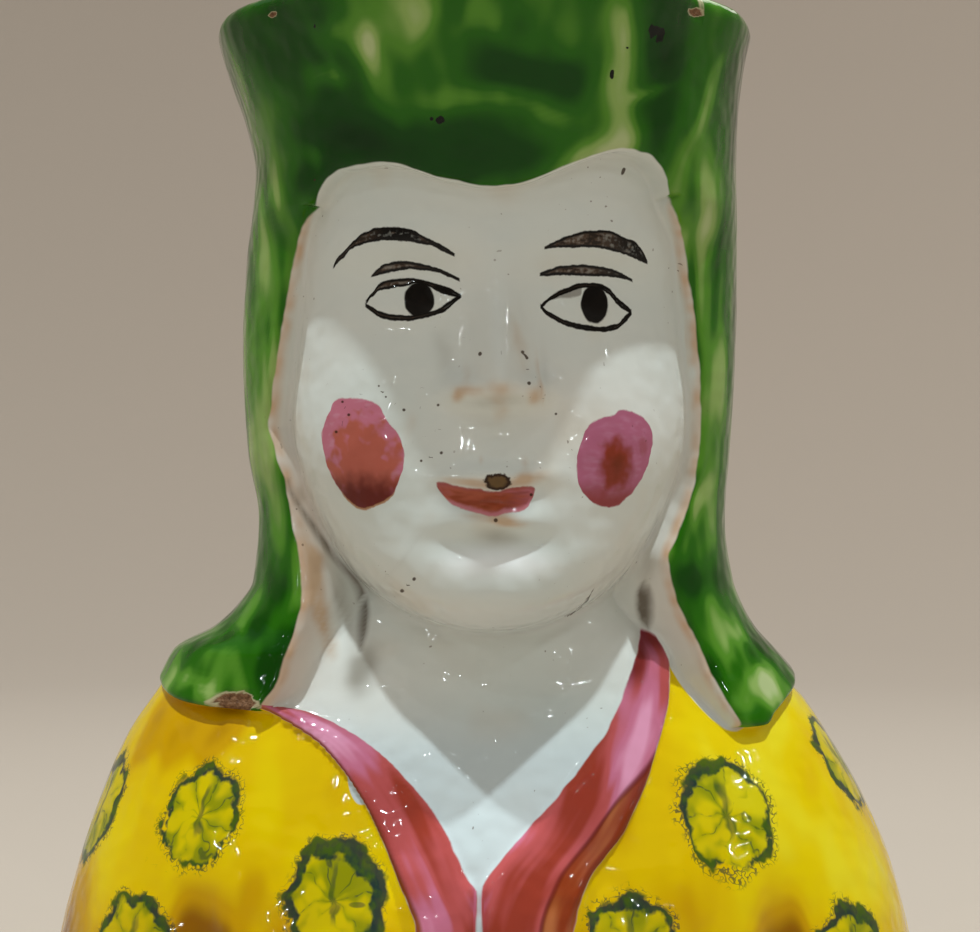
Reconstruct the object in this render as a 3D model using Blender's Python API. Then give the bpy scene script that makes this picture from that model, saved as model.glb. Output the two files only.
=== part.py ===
"""Faience decanter in the form of a woman's head and shoulders, cut flat below.

It is one hollow glazed piece: a hat whose flared rim is the mouth, a veil that falls from the hat
on to the shoulders, a face, a neck, and a robe with a raised lapel on each side. Metres, +Z up,
front at -Y. The origin is the middle of the flat underside.
"""

import math

import bmesh
import bpy
import numpy as np

# Driving dimensions, in metres
HEIGHT = 0.196
WIDTH = 0.170
DEPTH = 0.122
WALL = 0.0055
FLOOR = 0.007
FLOOR_FILLET = 0.004
FOOT_ROUND = 0.0015
VEIL_ROUND = 0.0014
VEIL_LEAST_THICKNESS = 0.0016
LAPEL_RELIEF = 0.0018
LAPEL_EDGE = 0.0017
NOSE_RELIEF = 0.009
ARM_CREASE_DEPTH = 0.004

# The free form is drawn on a sheet of these sizes, whose units become metres by the three factors
SHEET_WIDTH, SHEET_DEPTH, SHEET_HEIGHT = 170.0, 122.0, 196.0
ACROSS = WIDTH / SHEET_WIDTH
AHEAD = DEPTH / SHEET_DEPTH
UP = HEIGHT / SHEET_HEIGHT

# Fineness of the faceted solid
FRONT_COUNT, BACK_COUNT = 28, 11
ROW_COUNTS = (14, 34, 8)
HOLLOW_ROW_COUNT = 22
LIP_STEPS = 3

# Fineness of the copy of the outside that the hollow keeps its wall's thickness from
CLOSE_FRONT_COUNT, CLOSE_BACK_COUNT = 70, 40
CLOSE_ROW_COUNTS = (30, 60, 20)

# Profiles by height on the sheet: height, left and right half-width, reach ahead, reach behind
ROBE = (
    (0, 86, 84, 58, 62),
    (19, 83, 81, 55.5, 61.5),
    (35, 79, 77, 51.5, 60),
    (47, 75, 72, 46, 58),
    (58, 70.3, 65.6, 39.5, 55),
    (66, 65, 60, 33.5, 51),
    (70, 61.8, 55.5, 31, 48),
    (75, 52, 46.5, 29.5, 42),
    (79, 41, 40, 28.5, 37),
    (84, 31, 32, 27.5, 32),
    (92, 24, 26, 26, 28),
    (110, 18, 18, 18, 18),
)
VEIL_AND_HAT = (
    (45, 77.5, 75, 47, 61.6),
    (57, 73, 68.5, 42.5, 58.6),
    (66, 66.5, 62, 38.5, 55.5),
    (70, 63.8, 59.2, 37, 54),
    (75, 61, 55, 36, 52.5),
    (79, 53.6, 51.5, 36, 51),
    (84, 48.4, 48.8, 36, 49.6),
    (88, 45.9, 47.3, 36, 48.6),
    (100, 44.6, 45.6, 36, 48),
    (113, 46.8, 46.4, 36, 49.6),
    (132, 47.8, 47.6, 36, 51.6),
    (150, 46.9, 47.8, 38, 50.6),
    (159, 45.7, 47.6, 45.6, 49),
    (166, 45.2, 47.3, 48, 48.6),
    (175, 46.9, 47.6, 51, 49.4),
    (184, 50, 48.6, 55, 52),
    (192, 52.3, 50.2, 59, 54.6),
    (196, 53, 51, 60, 55.6),
)
NECK = (
    (0, 23, 27, 28, 30),
    (70, 23.5, 27.5, 29.5, 32),
    (84, 23.5, 26.5, 29.5, 32),
    (110, 18, 18, 24, 24),
)
FACE_REACH = (
    (79.2, 28), (80.4, 36), (82.4, 42.5), (84.5, 45), (88, 46.2), (92, 46), (100, 44.4), (110, 43.4),
    (125, 42), (140, 41.2), (150, 42.6), (165, 43), (196, 43),
)
FACE_HALF_WIDTH = 39.0
FACE_WIDEST_AT = 125.0
CHIN_AT = 79.2
ROBE_POWER, VEIL_POWER, NECK_POWER, FACE_POWER, JAW_POWER = 2.25, 2.3, 2.1, 2.4, 2.2
NECK_BLEND, CHIN_BLEND = 4.0, 2.5

# Edges by height: how far out the veil's front edge and the lapels' edges run, left side negative
VEIL_EDGE_LEFT = (
    (62, -43.5), (65.5, -42.5), (70, -39), (75.7, -37.3), (81.3, -35.4), (86.9, -34.8),
    (92.5, -35.4), (100, -36.7), (107.4, -38.2), (113, -40), (117.6, -41.2), (124, -40.4),
    (135, -38.6), (145.6, -36.4), (151.3, -35.3), (157, -33.7),
)
VEIL_EDGE_RIGHT = (
    (62, 46.8), (64, 45.2), (70, 41.4), (77.6, 38.2), (85, 34.5), (92.5, 32.8), (98, 35),
    (103.7, 37.3), (111, 38.6), (117, 39.1), (135, 38.2), (144.4, 36.6), (151.9, 35.2), (157, 33.6),
)
LAPEL_LEFT_INNER = (
    (0, -2), (36.4, -2), (38.4, -3.5), (48, -8.8), (56, -16), (60.5, -22), (63.2, -26.8), (65.4, -33),
    (66.8, -42), (75, -70),
)
LAPEL_LEFT_OUTER = (
    (0, -11), (30, -12.9), (35, -14.7), (43, -18.3), (51.2, -22.9), (60, -30.4), (66, -41.7), (70, -50),
)
LAPEL_RIGHT_INNER = (
    (0, -1.8), (36.7, -1.7), (41.4, 1.7), (52.6, 12.4), (64.3, 22), (78, 27.5), (86, 29),
)
LAPEL_RIGHT_OUTER = (
    (0, 13), (30, 14.6), (38.2, 17.4), (46, 23.8), (57.4, 29.5), (70.8, 33.3), (74, 33.4), (79.6, 30.5),
    (86, 29.5),
)
LAPELS_FADE, LAPELS_UP_TO = 80.0, 86.0

# Heights by place round the piece: 0 is the front, 1 the veil's front edges and 2 the back
HEM = (
    (-2, 54), (-1.62, 60), (-1.3, 69.6), (-1.1, 66), (-1, 65.4), (1, 62.3), (1.03, 62.4), (1.066, 64.4),
    (1.144, 67.4), (1.27, 70), (1.62, 60), (2, 54),
)
HAT_EDGE = (
    (-2, 158), (-1, 157), (-0.87, 160.5), (-0.74, 162.6), (-0.52, 163), (-0.215, 160), (0, 158.8),
    (0.167, 159.4), (0.337, 161.6), (0.5, 164), (0.676, 165.6), (0.79, 165), (0.945, 161.5), (1, 158.5),
    (2, 158),
)
RIM = ((-2, 195.2), (-1.3, 193.8), (-0.6, 195.2), (0, 196), (0.6, 195.2), (1.3, 193.8), (2, 195.2))

# The shallow valleys beside the hat's front, and the folds of the veil behind
VALLEY_DEPTH, VALLEY_TURN, VALLEY_SPREAD = 2.4, math.radians(43), math.radians(12)
VALLEY_FROM, VALLEY_TO = 168.0, 194.0
FOLD_DEPTH, FOLDS = 0.7, 9
FOLDS_FROM_TURN, FOLDS_TO_TURN = 1.9, 2.5
FOLDS_DEEPEST, FOLDS_END = 70.0, 130.0

# A step in the surface, as at the hem, lies between two rows or columns this far to each side of it
STEP_GAP = 0.4
STEP_GAP_TURN = 0.009

# The nose by height: how far it stands out, as a share of its relief, and its half-width
NOSE = (
    (115, 0, 4.5), (118.4, 0.04, 5.2), (120.2, 0.38, 6), (122.2, 0.86, 6.4), (124.4, 1, 6), (127, 0.95, 5.2),
    (131.5, 0.74, 4.8), (137, 0.5, 4.4), (143, 0.27, 4.4), (148.5, 0.11, 5), (154, 0, 6),
)
NOSE_MIDDLE = 1.7

# Soft swellings and hollows: across, height, half-width, half-height, and how far they stand out
FACE_FORMS = (
    (-13.6, 141, 10.5, 8, -2.6),
    (17.1, 140.5, 10.5, 8, -2.6),
    (-13.6, 139.5, 8, 4.4, 1.9),
    (17.1, 139, 8, 4.4, 1.9),
    (-15, 150, 11, 3.6, 0.7),
    (18, 150, 11, 3.6, 0.7),
    (-5.4, 123.6, 2.9, 2.8, 1.9),
    (8.6, 123.6, 2.9, 2.8, 1.9),
    (-25, 115, 11, 12, 1.6),
    (26, 115, 11, 12, 1.6),
    (0.5, 104, 15, 10, 1.6),
    (1, 108.4, 8, 1.7, 1.6),
    (0, 104.4, 8.6, 1.5, -0.9),
    (1, 100.4, 7.4, 2.1, 2),
    (0.5, 96.2, 9, 2.4, -1.5),
    (0, 88, 9.5, 6, 1.5),
)

# The crease beside each arm and the swelling outside it: across, half-width and heights
CREASE_AT, CREASE_HALF_WIDTH = 52.0, 4.5
SWELL_AT, SWELL_HALF_WIDTH, SWELL = 67.0, 8.0, 1.6
ARMS_DEEPEST, ARMS_END = 14.0, 46.0


def through(stations, at):
    """A smooth curve through stations of place and value, which never swings past them."""
    places, values = np.array(stations, float).T
    steps = np.diff(places)
    slopes = np.diff(values) / steps
    tangents = np.zeros(len(places))
    together = slopes[:-1] * slopes[1:] > 0
    total = np.where(together, slopes[:-1] + slopes[1:], 1)
    tangents[1:-1] = np.where(together, 2 * slopes[:-1] * slopes[1:] / total, 0)
    tangents[0], tangents[-1] = slopes[0], slopes[-1]
    span = np.clip(np.searchsorted(places, at) - 1, 0, len(steps) - 1)
    t = np.clip((at - places[span]) / steps[span], 0, 1)
    start = (1 + 2 * t) * (1 - t) ** 2 * values[span]
    end = t**2 * (3 - 2 * t) * values[span + 1]
    bend = t * (1 - t) ** 2 * tangents[span] - t**2 * (1 - t) * tangents[span + 1]
    return start + end + bend * steps[span]


def column(table, number):
    """The stations of one column of a profile table."""
    return [(row[0], row[number]) for row in table]


def fade(value, start, end):
    """0 at start, 1 at end, and a soft passage between."""
    t = np.clip((value - start) / (end - start), 0, 1)
    return t * t * (3 - 2 * t)


def smooth_max(a, b, blend):
    near = np.maximum(blend - np.abs(a - b), 0) / blend
    return np.maximum(a, b) + near**2 * blend / 4


def oval(turn, left, right, ahead, behind, power):
    """Distance from the axis to an oval with its own reach to each side."""
    side = np.where(np.sin(turn) < 0, left, right)
    reach = np.where(np.cos(turn) > 0, ahead, behind)
    total = np.abs(np.sin(turn) / side) ** power + np.abs(np.cos(turn) / reach) ** power
    return total ** (-1 / power)


def profile(table, turn, height, power):
    sides = [through(column(table, number), height) for number in (1, 2, 3, 4)]
    return oval(turn, *sides, power)


def bump(across, height, form):
    middle, level, half_width, half_height, relief = form
    return relief * np.exp(-(((across - middle) / half_width) ** 2) - ((height - level) / half_height) ** 2)


def nose(across, height):
    stand = through(column(NOSE, 1), height) * NOSE_RELIEF / AHEAD
    half_width = through(column(NOSE, 2), height)
    return stand * np.exp(-(((across - NOSE_MIDDLE) / half_width) ** 2))


def lapels(across, height):
    """Relief of the two lapels, which meet in a V and run on side by side to the cut."""
    soft = LAPEL_EDGE / ACROSS
    left = np.minimum(
        across - through(LAPEL_LEFT_OUTER, height), through(LAPEL_LEFT_INNER, height) - across
    )
    right = np.minimum(
        across - through(LAPEL_RIGHT_INNER, height), through(LAPEL_RIGHT_OUTER, height) - across
    )
    shown = 1 - fade(height, LAPELS_FADE, LAPELS_UP_TO)
    return np.maximum(fade(left, 0, soft), fade(right, 0, soft)) * shown * LAPEL_RELIEF / AHEAD


def arms(across, height):
    """The crease beside each arm and the arm's swelling outside it, deeper towards the cut."""
    out = np.abs(across)
    crease = ARM_CREASE_DEPTH / AHEAD * np.exp(-(((out - CREASE_AT) / CREASE_HALF_WIDTH) ** 2))
    swell = SWELL * np.exp(-(((out - SWELL_AT) / SWELL_HALF_WIDTH) ** 2))
    return (swell - crease) * (1 - fade(height, ARMS_DEEPEST, ARMS_END))


def bare_radius(turn, height):
    """The robe, neck and face under the veil and the hat."""
    below = np.clip((FACE_WIDEST_AT - height) / (FACE_WIDEST_AT - CHIN_AT), 0, 0.9999)
    half_width = FACE_HALF_WIDTH * (1 - below**JAW_POWER) ** (1 / JAW_POWER)
    reach = through(FACE_REACH, height)
    face = oval(turn, half_width, half_width, reach, reach, FACE_POWER)
    neck = profile(NECK, turn, height, NECK_POWER)
    robe = profile(ROBE, turn, height, ROBE_POWER)
    plain = smooth_max(smooth_max(robe, neck, NECK_BLEND), face, CHIN_BLEND)
    ahead = fade(np.cos(turn), 0, 0.35)
    across = plain * np.sin(turn)
    dressed = plain + (lapels(across, height) + arms(across, height)) * ahead
    radius = dressed
    for _ in range(5):
        across = radius * np.sin(turn)
        relief = nose(across, height)
        for form in FACE_FORMS:
            relief = relief + bump(across, height, form)
        radius = dressed + relief * ahead
    return radius


def cover_radius(turn, height):
    """The outside of the veil and the hat, with a shallow valley on each side of the hat's front."""
    plain = profile(VEIL_AND_HAT, turn, height, VEIL_POWER)
    valley = VALLEY_DEPTH * np.exp(-(((np.abs(turn) - VALLEY_TURN) / VALLEY_SPREAD) ** 2))
    behind = fade(np.abs(turn), FOLDS_FROM_TURN, FOLDS_TO_TURN) * (1 - fade(height, FOLDS_DEEPEST, FOLDS_END))
    folds = FOLD_DEPTH * np.cos(turn * FOLDS)
    return plain - valley * fade(height, VALLEY_FROM, VALLEY_TO) + folds * behind


def edge_turns(stations):
    """How far round the veil's front edge lies, level by level: where the cover reaches as far out."""
    levels = np.linspace(stations[0][0], stations[-1][0], 200)
    out = through(stations, levels)
    low, high = np.full_like(levels, math.radians(20)), np.full_like(levels, math.radians(88))
    for _ in range(30):
        middle = (low + high) / 2
        short = cover_radius(np.sign(out) * middle, levels) * np.sin(middle) < np.abs(out)
        low, high = np.where(short, middle, low), np.where(short, high, middle)
    return levels, (low + high) / 2


LEFT_EDGE_TURNS, RIGHT_EDGE_TURNS = edge_turns(VEIL_EDGE_LEFT), edge_turns(VEIL_EDGE_RIGHT)


def edge_turn(place, height):
    """Angle between the front and the veil's front edge on a place's side."""
    return np.where(place < 0, np.interp(height, *LEFT_EDGE_TURNS), np.interp(height, *RIGHT_EDGE_TURNS))


def turn_at(place, height):
    """Angle round the axis of a place: 0 at the front, 1 on the veil's edge, 2 at the back."""
    edge = edge_turn(place, height)
    size = np.abs(place)
    return np.sign(place) * np.where(size < 1, size * edge, edge + (size - 1) * (math.pi - edge))


def rounded_off(from_edge):
    """How much the veil's outside draws in this near to its edge."""
    size = VEIL_ROUND / AHEAD
    near = np.clip(1 - from_edge / size, 0, 1)
    return size * (1 - np.sqrt(1 - near**2))


def spread(low, high, count, density=None):
    """Places from low to high, closer together where the density is higher."""
    fine = np.linspace(low, high, 400)
    weight = np.ones_like(fine) if density is None else density(fine)
    total = np.concatenate([[0], np.cumsum((weight[1:] + weight[:-1]) / 2)])
    return np.interp(np.linspace(0, total[-1], count + 1), total, fine)


def places_round(front, back):
    """Places of the columns from the left back round to the right back, and which are on the veil."""
    face = spread(-1, 1, front, lambda place: 1 + 0.9 * np.exp(-((place / 0.4) ** 2)))
    near_edge = 1.03
    veil = np.concatenate([[1], spread(near_edge, 2, back, lambda place: 1 + 1.2 * (2 - place) ** 2)])
    places = np.concatenate([-veil[::-1], face, veil[:-1]])
    on_veil = np.ones(len(places), bool)
    on_veil[len(veil) : len(veil) + len(face)] = False
    return places, on_veil


def level_rows(robe, head, hat):
    """Rows as shares of the bands below the hem, up to the hat's edge and up to the rim."""

    def features(height):
        near_mouth = np.exp(-(((height - 0.4) / 0.13) ** 2))
        near_chin = np.exp(-(((height - 0.17) / 0.07) ** 2))
        return 1 + 0.7 * near_mouth + 0.9 * near_chin

    rows = [(0, share) for share in spread(0, 1, robe, lambda share: 1 + share)]
    rows += [(1, share) for share in spread(0, 1, head, features)]
    rows += [(2, share) for share in spread(0, 1, hat)]
    return rows


def outside(places, on_veil, rows):
    """Points of the outer surface on the sheet, row by row from the foot up to the lip."""
    hem, hat_edge = through(HEM, places), through(HAT_EDGE, places)
    limits = (
        (np.full_like(places, FOOT_ROUND / UP), hem - STEP_GAP),
        (hem + STEP_GAP, hat_edge - STEP_GAP),
        (hat_edge + STEP_GAP, through(RIM, places) - WALL / 2 / UP),
    )
    at_edge = np.abs(places) == 1
    aside = np.sign(places) * STEP_GAP_TURN * np.where(on_veil, 1, -1) * at_edge
    grid = []
    for band, share in rows:
        low, high = limits[band]
        height = low + (high - low) * share
        turn = turn_at(places, height) + aside
        bare = bare_radius(turn, height)
        cover = np.maximum(cover_radius(turn, height), bare + VEIL_LEAST_THICKNESS / AHEAD)
        from_hem = height - hem
        from_side = (np.abs(turn) - edge_turn(places, height)) * cover
        from_hat_edge = height - hat_edge
        from_edges = np.minimum(from_hem, from_side)
        if band == 2:
            from_edges = np.where(on_veil, from_hem, from_hat_edge)
        covered = on_veil & (band > 0) | (band == 2)
        radius = np.where(covered, cover - rounded_off(from_edges), bare)
        grid.append(np.stack([radius * np.sin(turn), -radius * np.cos(turn), height], axis=1))
    return np.array(grid)


def in_metres(points):
    return points * np.array([ACROSS, AHEAD, UP])


def hollow_radius(outer_points, directions, heights):
    """The farthest each ray may go from the axis and still keep a wall's thickness from the outside."""
    radii = []
    for direction, height in zip(directions, heights):
        along = outer_points[:, :2] @ direction
        size = (outer_points[:, :2] ** 2).sum(1) + (outer_points[:, 2] - height) ** 2 - WALL**2
        root = along**2 - size
        meets = (root > 0) & (along > 0)
        radii.append((along[meets] - np.sqrt(root[meets])).min())
    return np.array(radii)


def smoothed(radii):
    """A hollow's radii, row by row, made smooth by drawing the farthest ones in."""
    for _ in range(6):
        rows = np.pad(radii, ((1, 1), (0, 0)), mode="edge")
        round_about = (np.roll(radii, 1, axis=1) + np.roll(radii, -1, axis=1)) / 2
        radii = np.minimum(radii, (rows[:-2] + rows[2:] + 2 * round_about) / 4)
    return radii


def cavity_rings(rim_ring):
    """Rings of the hollow from the lip down to the floor, under every second column of the rim."""
    close_places = places_round(CLOSE_FRONT_COUNT, CLOSE_BACK_COUNT)
    fine = in_metres(outside(*close_places, level_rows(*CLOSE_ROW_COUNTS)).reshape(-1, 3))
    rim = rim_ring[::2]
    directions = rim[:, :2] / np.linalg.norm(rim[:, :2], axis=1)[:, None]
    levels = [
        rim[:, 2] + (FLOOR + FLOOR_FILLET - rim[:, 2]) * share for share in spread(0, 1, HOLLOW_ROW_COUNT)[1:]
    ]
    radii = smoothed(np.array([hollow_radius(fine, directions, heights) for heights in levels]))
    for quarter in (0.5, 1):
        angle = math.radians(90) * quarter
        levels.append(np.full(len(rim), FLOOR + FLOOR_FILLET * (1 - math.sin(angle))))
        radii = np.vstack([radii, radii[HOLLOW_ROW_COUNT - 1] - FLOOR_FILLET * (1 - math.cos(angle))])
    return [
        np.column_stack([directions * radius[:, None], heights]) for radius, heights in zip(radii, levels)
    ]


def lip_rings(top_ring):
    """The rounded lip over the top row of the outside, ending inside the mouth."""
    radius = np.linalg.norm(top_ring[:, :2], axis=1)
    directions = top_ring[:, :2] / radius[:, None]
    rings = []
    for step in range(1, LIP_STEPS + 1):
        angle = math.pi * step / LIP_STEPS
        out = radius - WALL / 2 * (1 - math.cos(angle))
        heights = top_ring[:, 2] + WALL / 2 * math.sin(angle)
        rings.append(np.column_stack([directions * out[:, None], heights]))
    return rings


def foot_ring(low_ring):
    """The edge of the flat underside, inside the rounded foot."""
    radius = np.linalg.norm(low_ring[:, :2], axis=1)
    directions = low_ring[:, :2] / radius[:, None]
    return np.column_stack([directions * (radius - FOOT_ROUND)[:, None], np.zeros(len(radius))])


def join_rings(mesh, lower, upper):
    """Faces between two closed rings, where the second may have half as many points."""
    count, ratio = len(lower), len(lower) // len(upper)
    for index in range(0, count, ratio):
        ahead = (index + ratio) % count
        low, high = upper[index // ratio], upper[(index // ratio + 1) % len(upper)]
        if ratio == 1:
            mesh.faces.new((lower[index], lower[ahead], high, low))
        else:
            middle = lower[index + 1]
            mesh.faces.new((lower[index], middle, low))
            mesh.faces.new((middle, high, low))
            mesh.faces.new((middle, lower[ahead], high))


def close_ring(mesh, ring, centre):
    for index, corner in enumerate(ring):
        mesh.faces.new((corner, ring[(index + 1) % len(ring)], centre))


def glaze():
    material = bpy.data.materials.new("glazed faience")
    material.use_nodes = True
    shader = material.node_tree.nodes["Principled BSDF"]
    shader.inputs["Base Color"].default_value = (0.78, 0.62, 0.12, 1)
    shader.inputs["Roughness"].default_value = 0.14
    shader.inputs["Metallic"].default_value = 0.0
    return material


def decanter():
    places, on_veil = places_round(FRONT_COUNT, BACK_COUNT)
    outer = [in_metres(row) for row in outside(places, on_veil, level_rows(*ROW_COUNTS))]
    lip = lip_rings(outer[-1])
    rings = [foot_ring(outer[0])] + outer + lip + cavity_rings(lip[-1])

    mesh = bmesh.new()
    corners = [[mesh.verts.new(point) for point in ring] for ring in rings]
    for lower, upper in zip(corners[:-1], corners[1:]):
        join_rings(mesh, lower, upper)
    close_ring(mesh, corners[0][::-1], mesh.verts.new((0, 0, 0)))
    close_ring(mesh, corners[-1], mesh.verts.new((0, 0, FLOOR)))
    bmesh.ops.triangulate(mesh, faces=mesh.faces[:], quad_method="SHORT_EDGE")

    data = bpy.data.meshes.new("decanter")
    mesh.to_mesh(data)
    mesh.free()
    data.materials.append(glaze())
    data.shade_smooth()
    data.set_sharp_from_angle(angle=math.radians(40))
    piece = bpy.data.objects.new("decanter", data)
    bpy.context.scene.collection.objects.link(piece)
    return piece


for old in list(bpy.data.objects):
    bpy.data.objects.remove(old)
decanter()
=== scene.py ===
"""Looks of the faience decanter: its hand-pressed surface, glazes and painting, a studio and the camera.

The form is drawn in millimetres on the same sheet as the solid, then fitted to the solid's box.
"""

import math
from functools import partialmethod

import bpy
import numpy as np
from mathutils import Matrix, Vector, noise


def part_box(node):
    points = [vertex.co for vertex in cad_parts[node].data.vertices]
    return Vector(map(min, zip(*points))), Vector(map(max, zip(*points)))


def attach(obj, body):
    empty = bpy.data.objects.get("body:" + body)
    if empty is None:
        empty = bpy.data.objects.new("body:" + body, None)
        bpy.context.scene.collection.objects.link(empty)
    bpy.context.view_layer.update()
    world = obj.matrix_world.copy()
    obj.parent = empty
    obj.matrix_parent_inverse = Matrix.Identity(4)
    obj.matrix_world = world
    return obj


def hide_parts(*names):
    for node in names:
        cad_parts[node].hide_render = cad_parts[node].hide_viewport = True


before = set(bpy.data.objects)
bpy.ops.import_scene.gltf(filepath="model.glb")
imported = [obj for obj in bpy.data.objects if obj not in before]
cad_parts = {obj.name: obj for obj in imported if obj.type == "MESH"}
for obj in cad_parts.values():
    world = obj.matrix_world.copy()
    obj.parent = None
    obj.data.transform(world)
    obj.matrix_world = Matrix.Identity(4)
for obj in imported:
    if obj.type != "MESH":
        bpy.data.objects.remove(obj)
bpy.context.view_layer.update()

LOW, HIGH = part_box("decanter")

# The form's own extents on the sheet, in millimetres, and the metres for each that fit it to the solid
SHEET_EXTENTS = (169.4, 121.6, 195.6)
ACROSS, AHEAD, UP = (size / extent for size, extent in zip(HIGH - LOW, SHEET_EXTENTS))
MM = 0.001
WALL = 5.5
FLOOR = 7.0
FLOOR_FILLET = 4.0
FOOT_ROUND = 1.5
VEIL_ROUND = 1.5
STEP_FILLET = 0.9
LEAST_STEP = 0.8
VEIL_LEAST_THICKNESS = 1.6
LAPEL_RELIEF = 1.8
LAPEL_EDGE = 1.7
NOSE_RELIEF = 9.0
ARM_CREASE_DEPTH = 4.0
# Reliefs of the front fade out where the cosine of the turn falls under this
RELIEF_FADES_UNDER = 0.35
# Rounds of settling a relief, which is placed by how far across its point ends up
SETTLING_ROUNDS = 5

# Fineness of the mesh
FACE_COLUMNS = 176
EDGE_STEPS = 9
VEIL_COLUMNS = 60
ROBE_ROWS = 72
HEAD_ROWS = 118
HAT_ROWS = 30
CAVITY_ROWS = 44
LIP_STEPS = 9
FOOT_ANGLES = np.radians((90, 60, 30))
FLOOR_FILLET_STEPS = 4
FINE_STEPS = 400
# Columns crowd together behind the veil's edge, and rows at the mouth: how much more, where and how widely
EDGE_CROWDING, EDGE_CROWDING_WIDTH = 2.5, 0.12
MOUTH_CROWDING, MOUTH_AT, MOUTH_CROWDING_WIDTH = 0.6, 0.45, 0.22
# The hollow is measured from every third point of the outside, and has every second column
MEASURED_STEP, HOLLOW_STEP = 3, 2
HOLLOW_SMOOTHINGS = 14

# Profiles by height: height, left and right half-width, reach ahead, reach behind
ROBE = (
    (0, 86, 84, 58, 62),
    (19, 83, 81, 55.5, 61.5),
    (35, 79, 77, 51.5, 60),
    (47, 75, 72, 46, 58),
    (58, 70.3, 65.6, 39.5, 55),
    (66, 65, 60, 33.5, 51),
    (70, 61.8, 55.5, 31, 48),
    (75, 52, 46.5, 29.5, 42),
    (79, 41, 40, 28.5, 37),
    (84, 31, 32, 27.5, 32),
    (92, 24, 26, 26, 28),
    (110, 18, 18, 18, 18),
)
VEIL_AND_HAT = (
    (45, 77.5, 75, 47, 61.6),
    (57, 73, 68.5, 42.5, 58.6),
    (66, 66.5, 62, 38.5, 55.5),
    (70, 63.8, 59.2, 37, 54),
    (75, 61, 55, 36, 52.5),
    (79, 53.6, 51.5, 36, 51),
    (84, 48.4, 48.8, 36, 49.6),
    (88, 45.9, 47.3, 36, 48.6),
    (100, 44.6, 45.6, 36, 48),
    (113, 46.8, 46.4, 36, 49.6),
    (132, 47.8, 47.6, 36, 51.6),
    (150, 46.9, 47.8, 38, 50.6),
    (159, 45.7, 47.6, 45.6, 49),
    (166, 45.2, 47.3, 48, 48.6),
    (175, 46.9, 47.6, 51, 49.4),
    (184, 50, 48.6, 55, 52),
    (192, 52.3, 50.2, 59, 54.6),
    (196, 53, 51, 60, 55.6),
)
NECK = (
    (0, 23, 27, 28, 30),
    (70, 23.5, 27.5, 29.5, 32),
    (84, 23.5, 26.5, 29.5, 32),
    (110, 18, 18, 24, 24),
)
FACE_REACH = (
    (79.2, 28), (80.4, 36), (82.4, 42.5), (84.5, 45), (88, 46.2), (92, 46), (100, 44.4), (110, 43.4),
    (125, 42), (140, 41.2), (150, 42.6), (165, 43), (196, 43),
)
FACE_HALF_WIDTH = 39.0
FACE_WIDEST_AT = 125.0
CHIN_AT = 79.2
ROBE_POWER, VEIL_POWER, NECK_POWER, FACE_POWER, JAW_POWER = 2.25, 2.3, 2.1, 2.4, 2.2
NECK_BLEND, CHIN_BLEND = 4.0, 2.5

# Edges by height: how far out the veil's front edge and the lapels' edges run, left side negative
VEIL_EDGE_LEFT = (
    (62, -43.5), (65.5, -42.5), (70, -39), (75.7, -37.3), (81.3, -35.4), (86.9, -34.8),
    (92.5, -35.4), (100, -36.7), (107.4, -38.2), (113, -40), (117.6, -41.2), (124, -40.4),
    (135, -38.6), (145.6, -36.4), (151.3, -35.3), (157, -33.7),
)
VEIL_EDGE_RIGHT = (
    (62, 46.8), (64, 45.2), (70, 41.4), (77.6, 38.2), (85, 34.5), (92.5, 32.8), (98, 35),
    (103.7, 37.3), (111, 38.6), (117, 39.1), (135, 38.2), (144.4, 36.6), (151.9, 35.2), (157, 33.6),
)
LAPEL_LEFT_INNER = (
    (0, -2), (36.4, -2), (38.4, -3.5), (48, -8.8), (56, -16), (60.5, -22), (63.2, -26.8), (65.4, -33),
    (66.8, -42), (75, -70),
)
LAPEL_LEFT_OUTER = (
    (0, -11), (30, -12.9), (35, -14.7), (43, -18.3), (51.2, -22.9), (60, -30.4), (66, -41.7), (70, -50),
)
LAPEL_RIGHT_INNER = (
    (0, -1.8), (36.7, -1.7), (41.4, 1.7), (52.6, 12.4), (64.3, 22), (78, 27.5), (86, 29),
)
LAPEL_RIGHT_OUTER = (
    (0, 13), (30, 14.6), (38.2, 17.4), (46, 23.8), (57.4, 29.5), (70.8, 33.3), (74, 33.4), (79.6, 30.5),
    (86, 29.5),
)
LAPELS_FADE, LAPELS_UP_TO = 80.0, 86.0
# Nothing is painted as a lapel where the cosine of the turn is under this
LAPELS_IN_FRONT = 0.1
NO_LAPEL, WELL_INSIDE = -9.0, 9.0

# How far the green runs down the step under the hem
GREEN_BELOW_HEM = 1.3
# How widely the green rounds the corner between the hat and the veil
COVER_CORNER = 7.0

# Heights by place round the piece: 0 is the front, 1 the veil's front edges and 2 the back
HEM = (
    (-2, 54), (-1.62, 60), (-1.3, 69.6), (-1.1, 66), (-1, 65.4), (1, 62.3), (1.03, 62.4), (1.066, 64.4),
    (1.144, 67.4), (1.27, 70), (1.62, 60), (2, 54),
)
HAT_EDGE = (
    (-2, 158), (-1, 157), (-0.87, 160.5), (-0.74, 162.6), (-0.52, 163), (-0.215, 160), (0, 158.8),
    (0.167, 159.4), (0.337, 161.6), (0.5, 164), (0.676, 165.6), (0.79, 165), (0.945, 161.5), (1, 158.5),
    (2, 158),
)
RIM = ((-2, 195.2), (-1.3, 193.8), (-0.6, 195.2), (0, 196), (0.6, 195.2), (1.3, 193.8), (2, 195.2))

# The yellow robe's top edge by how far out it lies, on the right where a white gusset shows above it
ROBE_TOP_RIGHT = ((30, 84), (33.7, 72), (38.2, 65.6), (45, 61.2), (48, 62.6), (52, 70), (60, 80))

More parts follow.
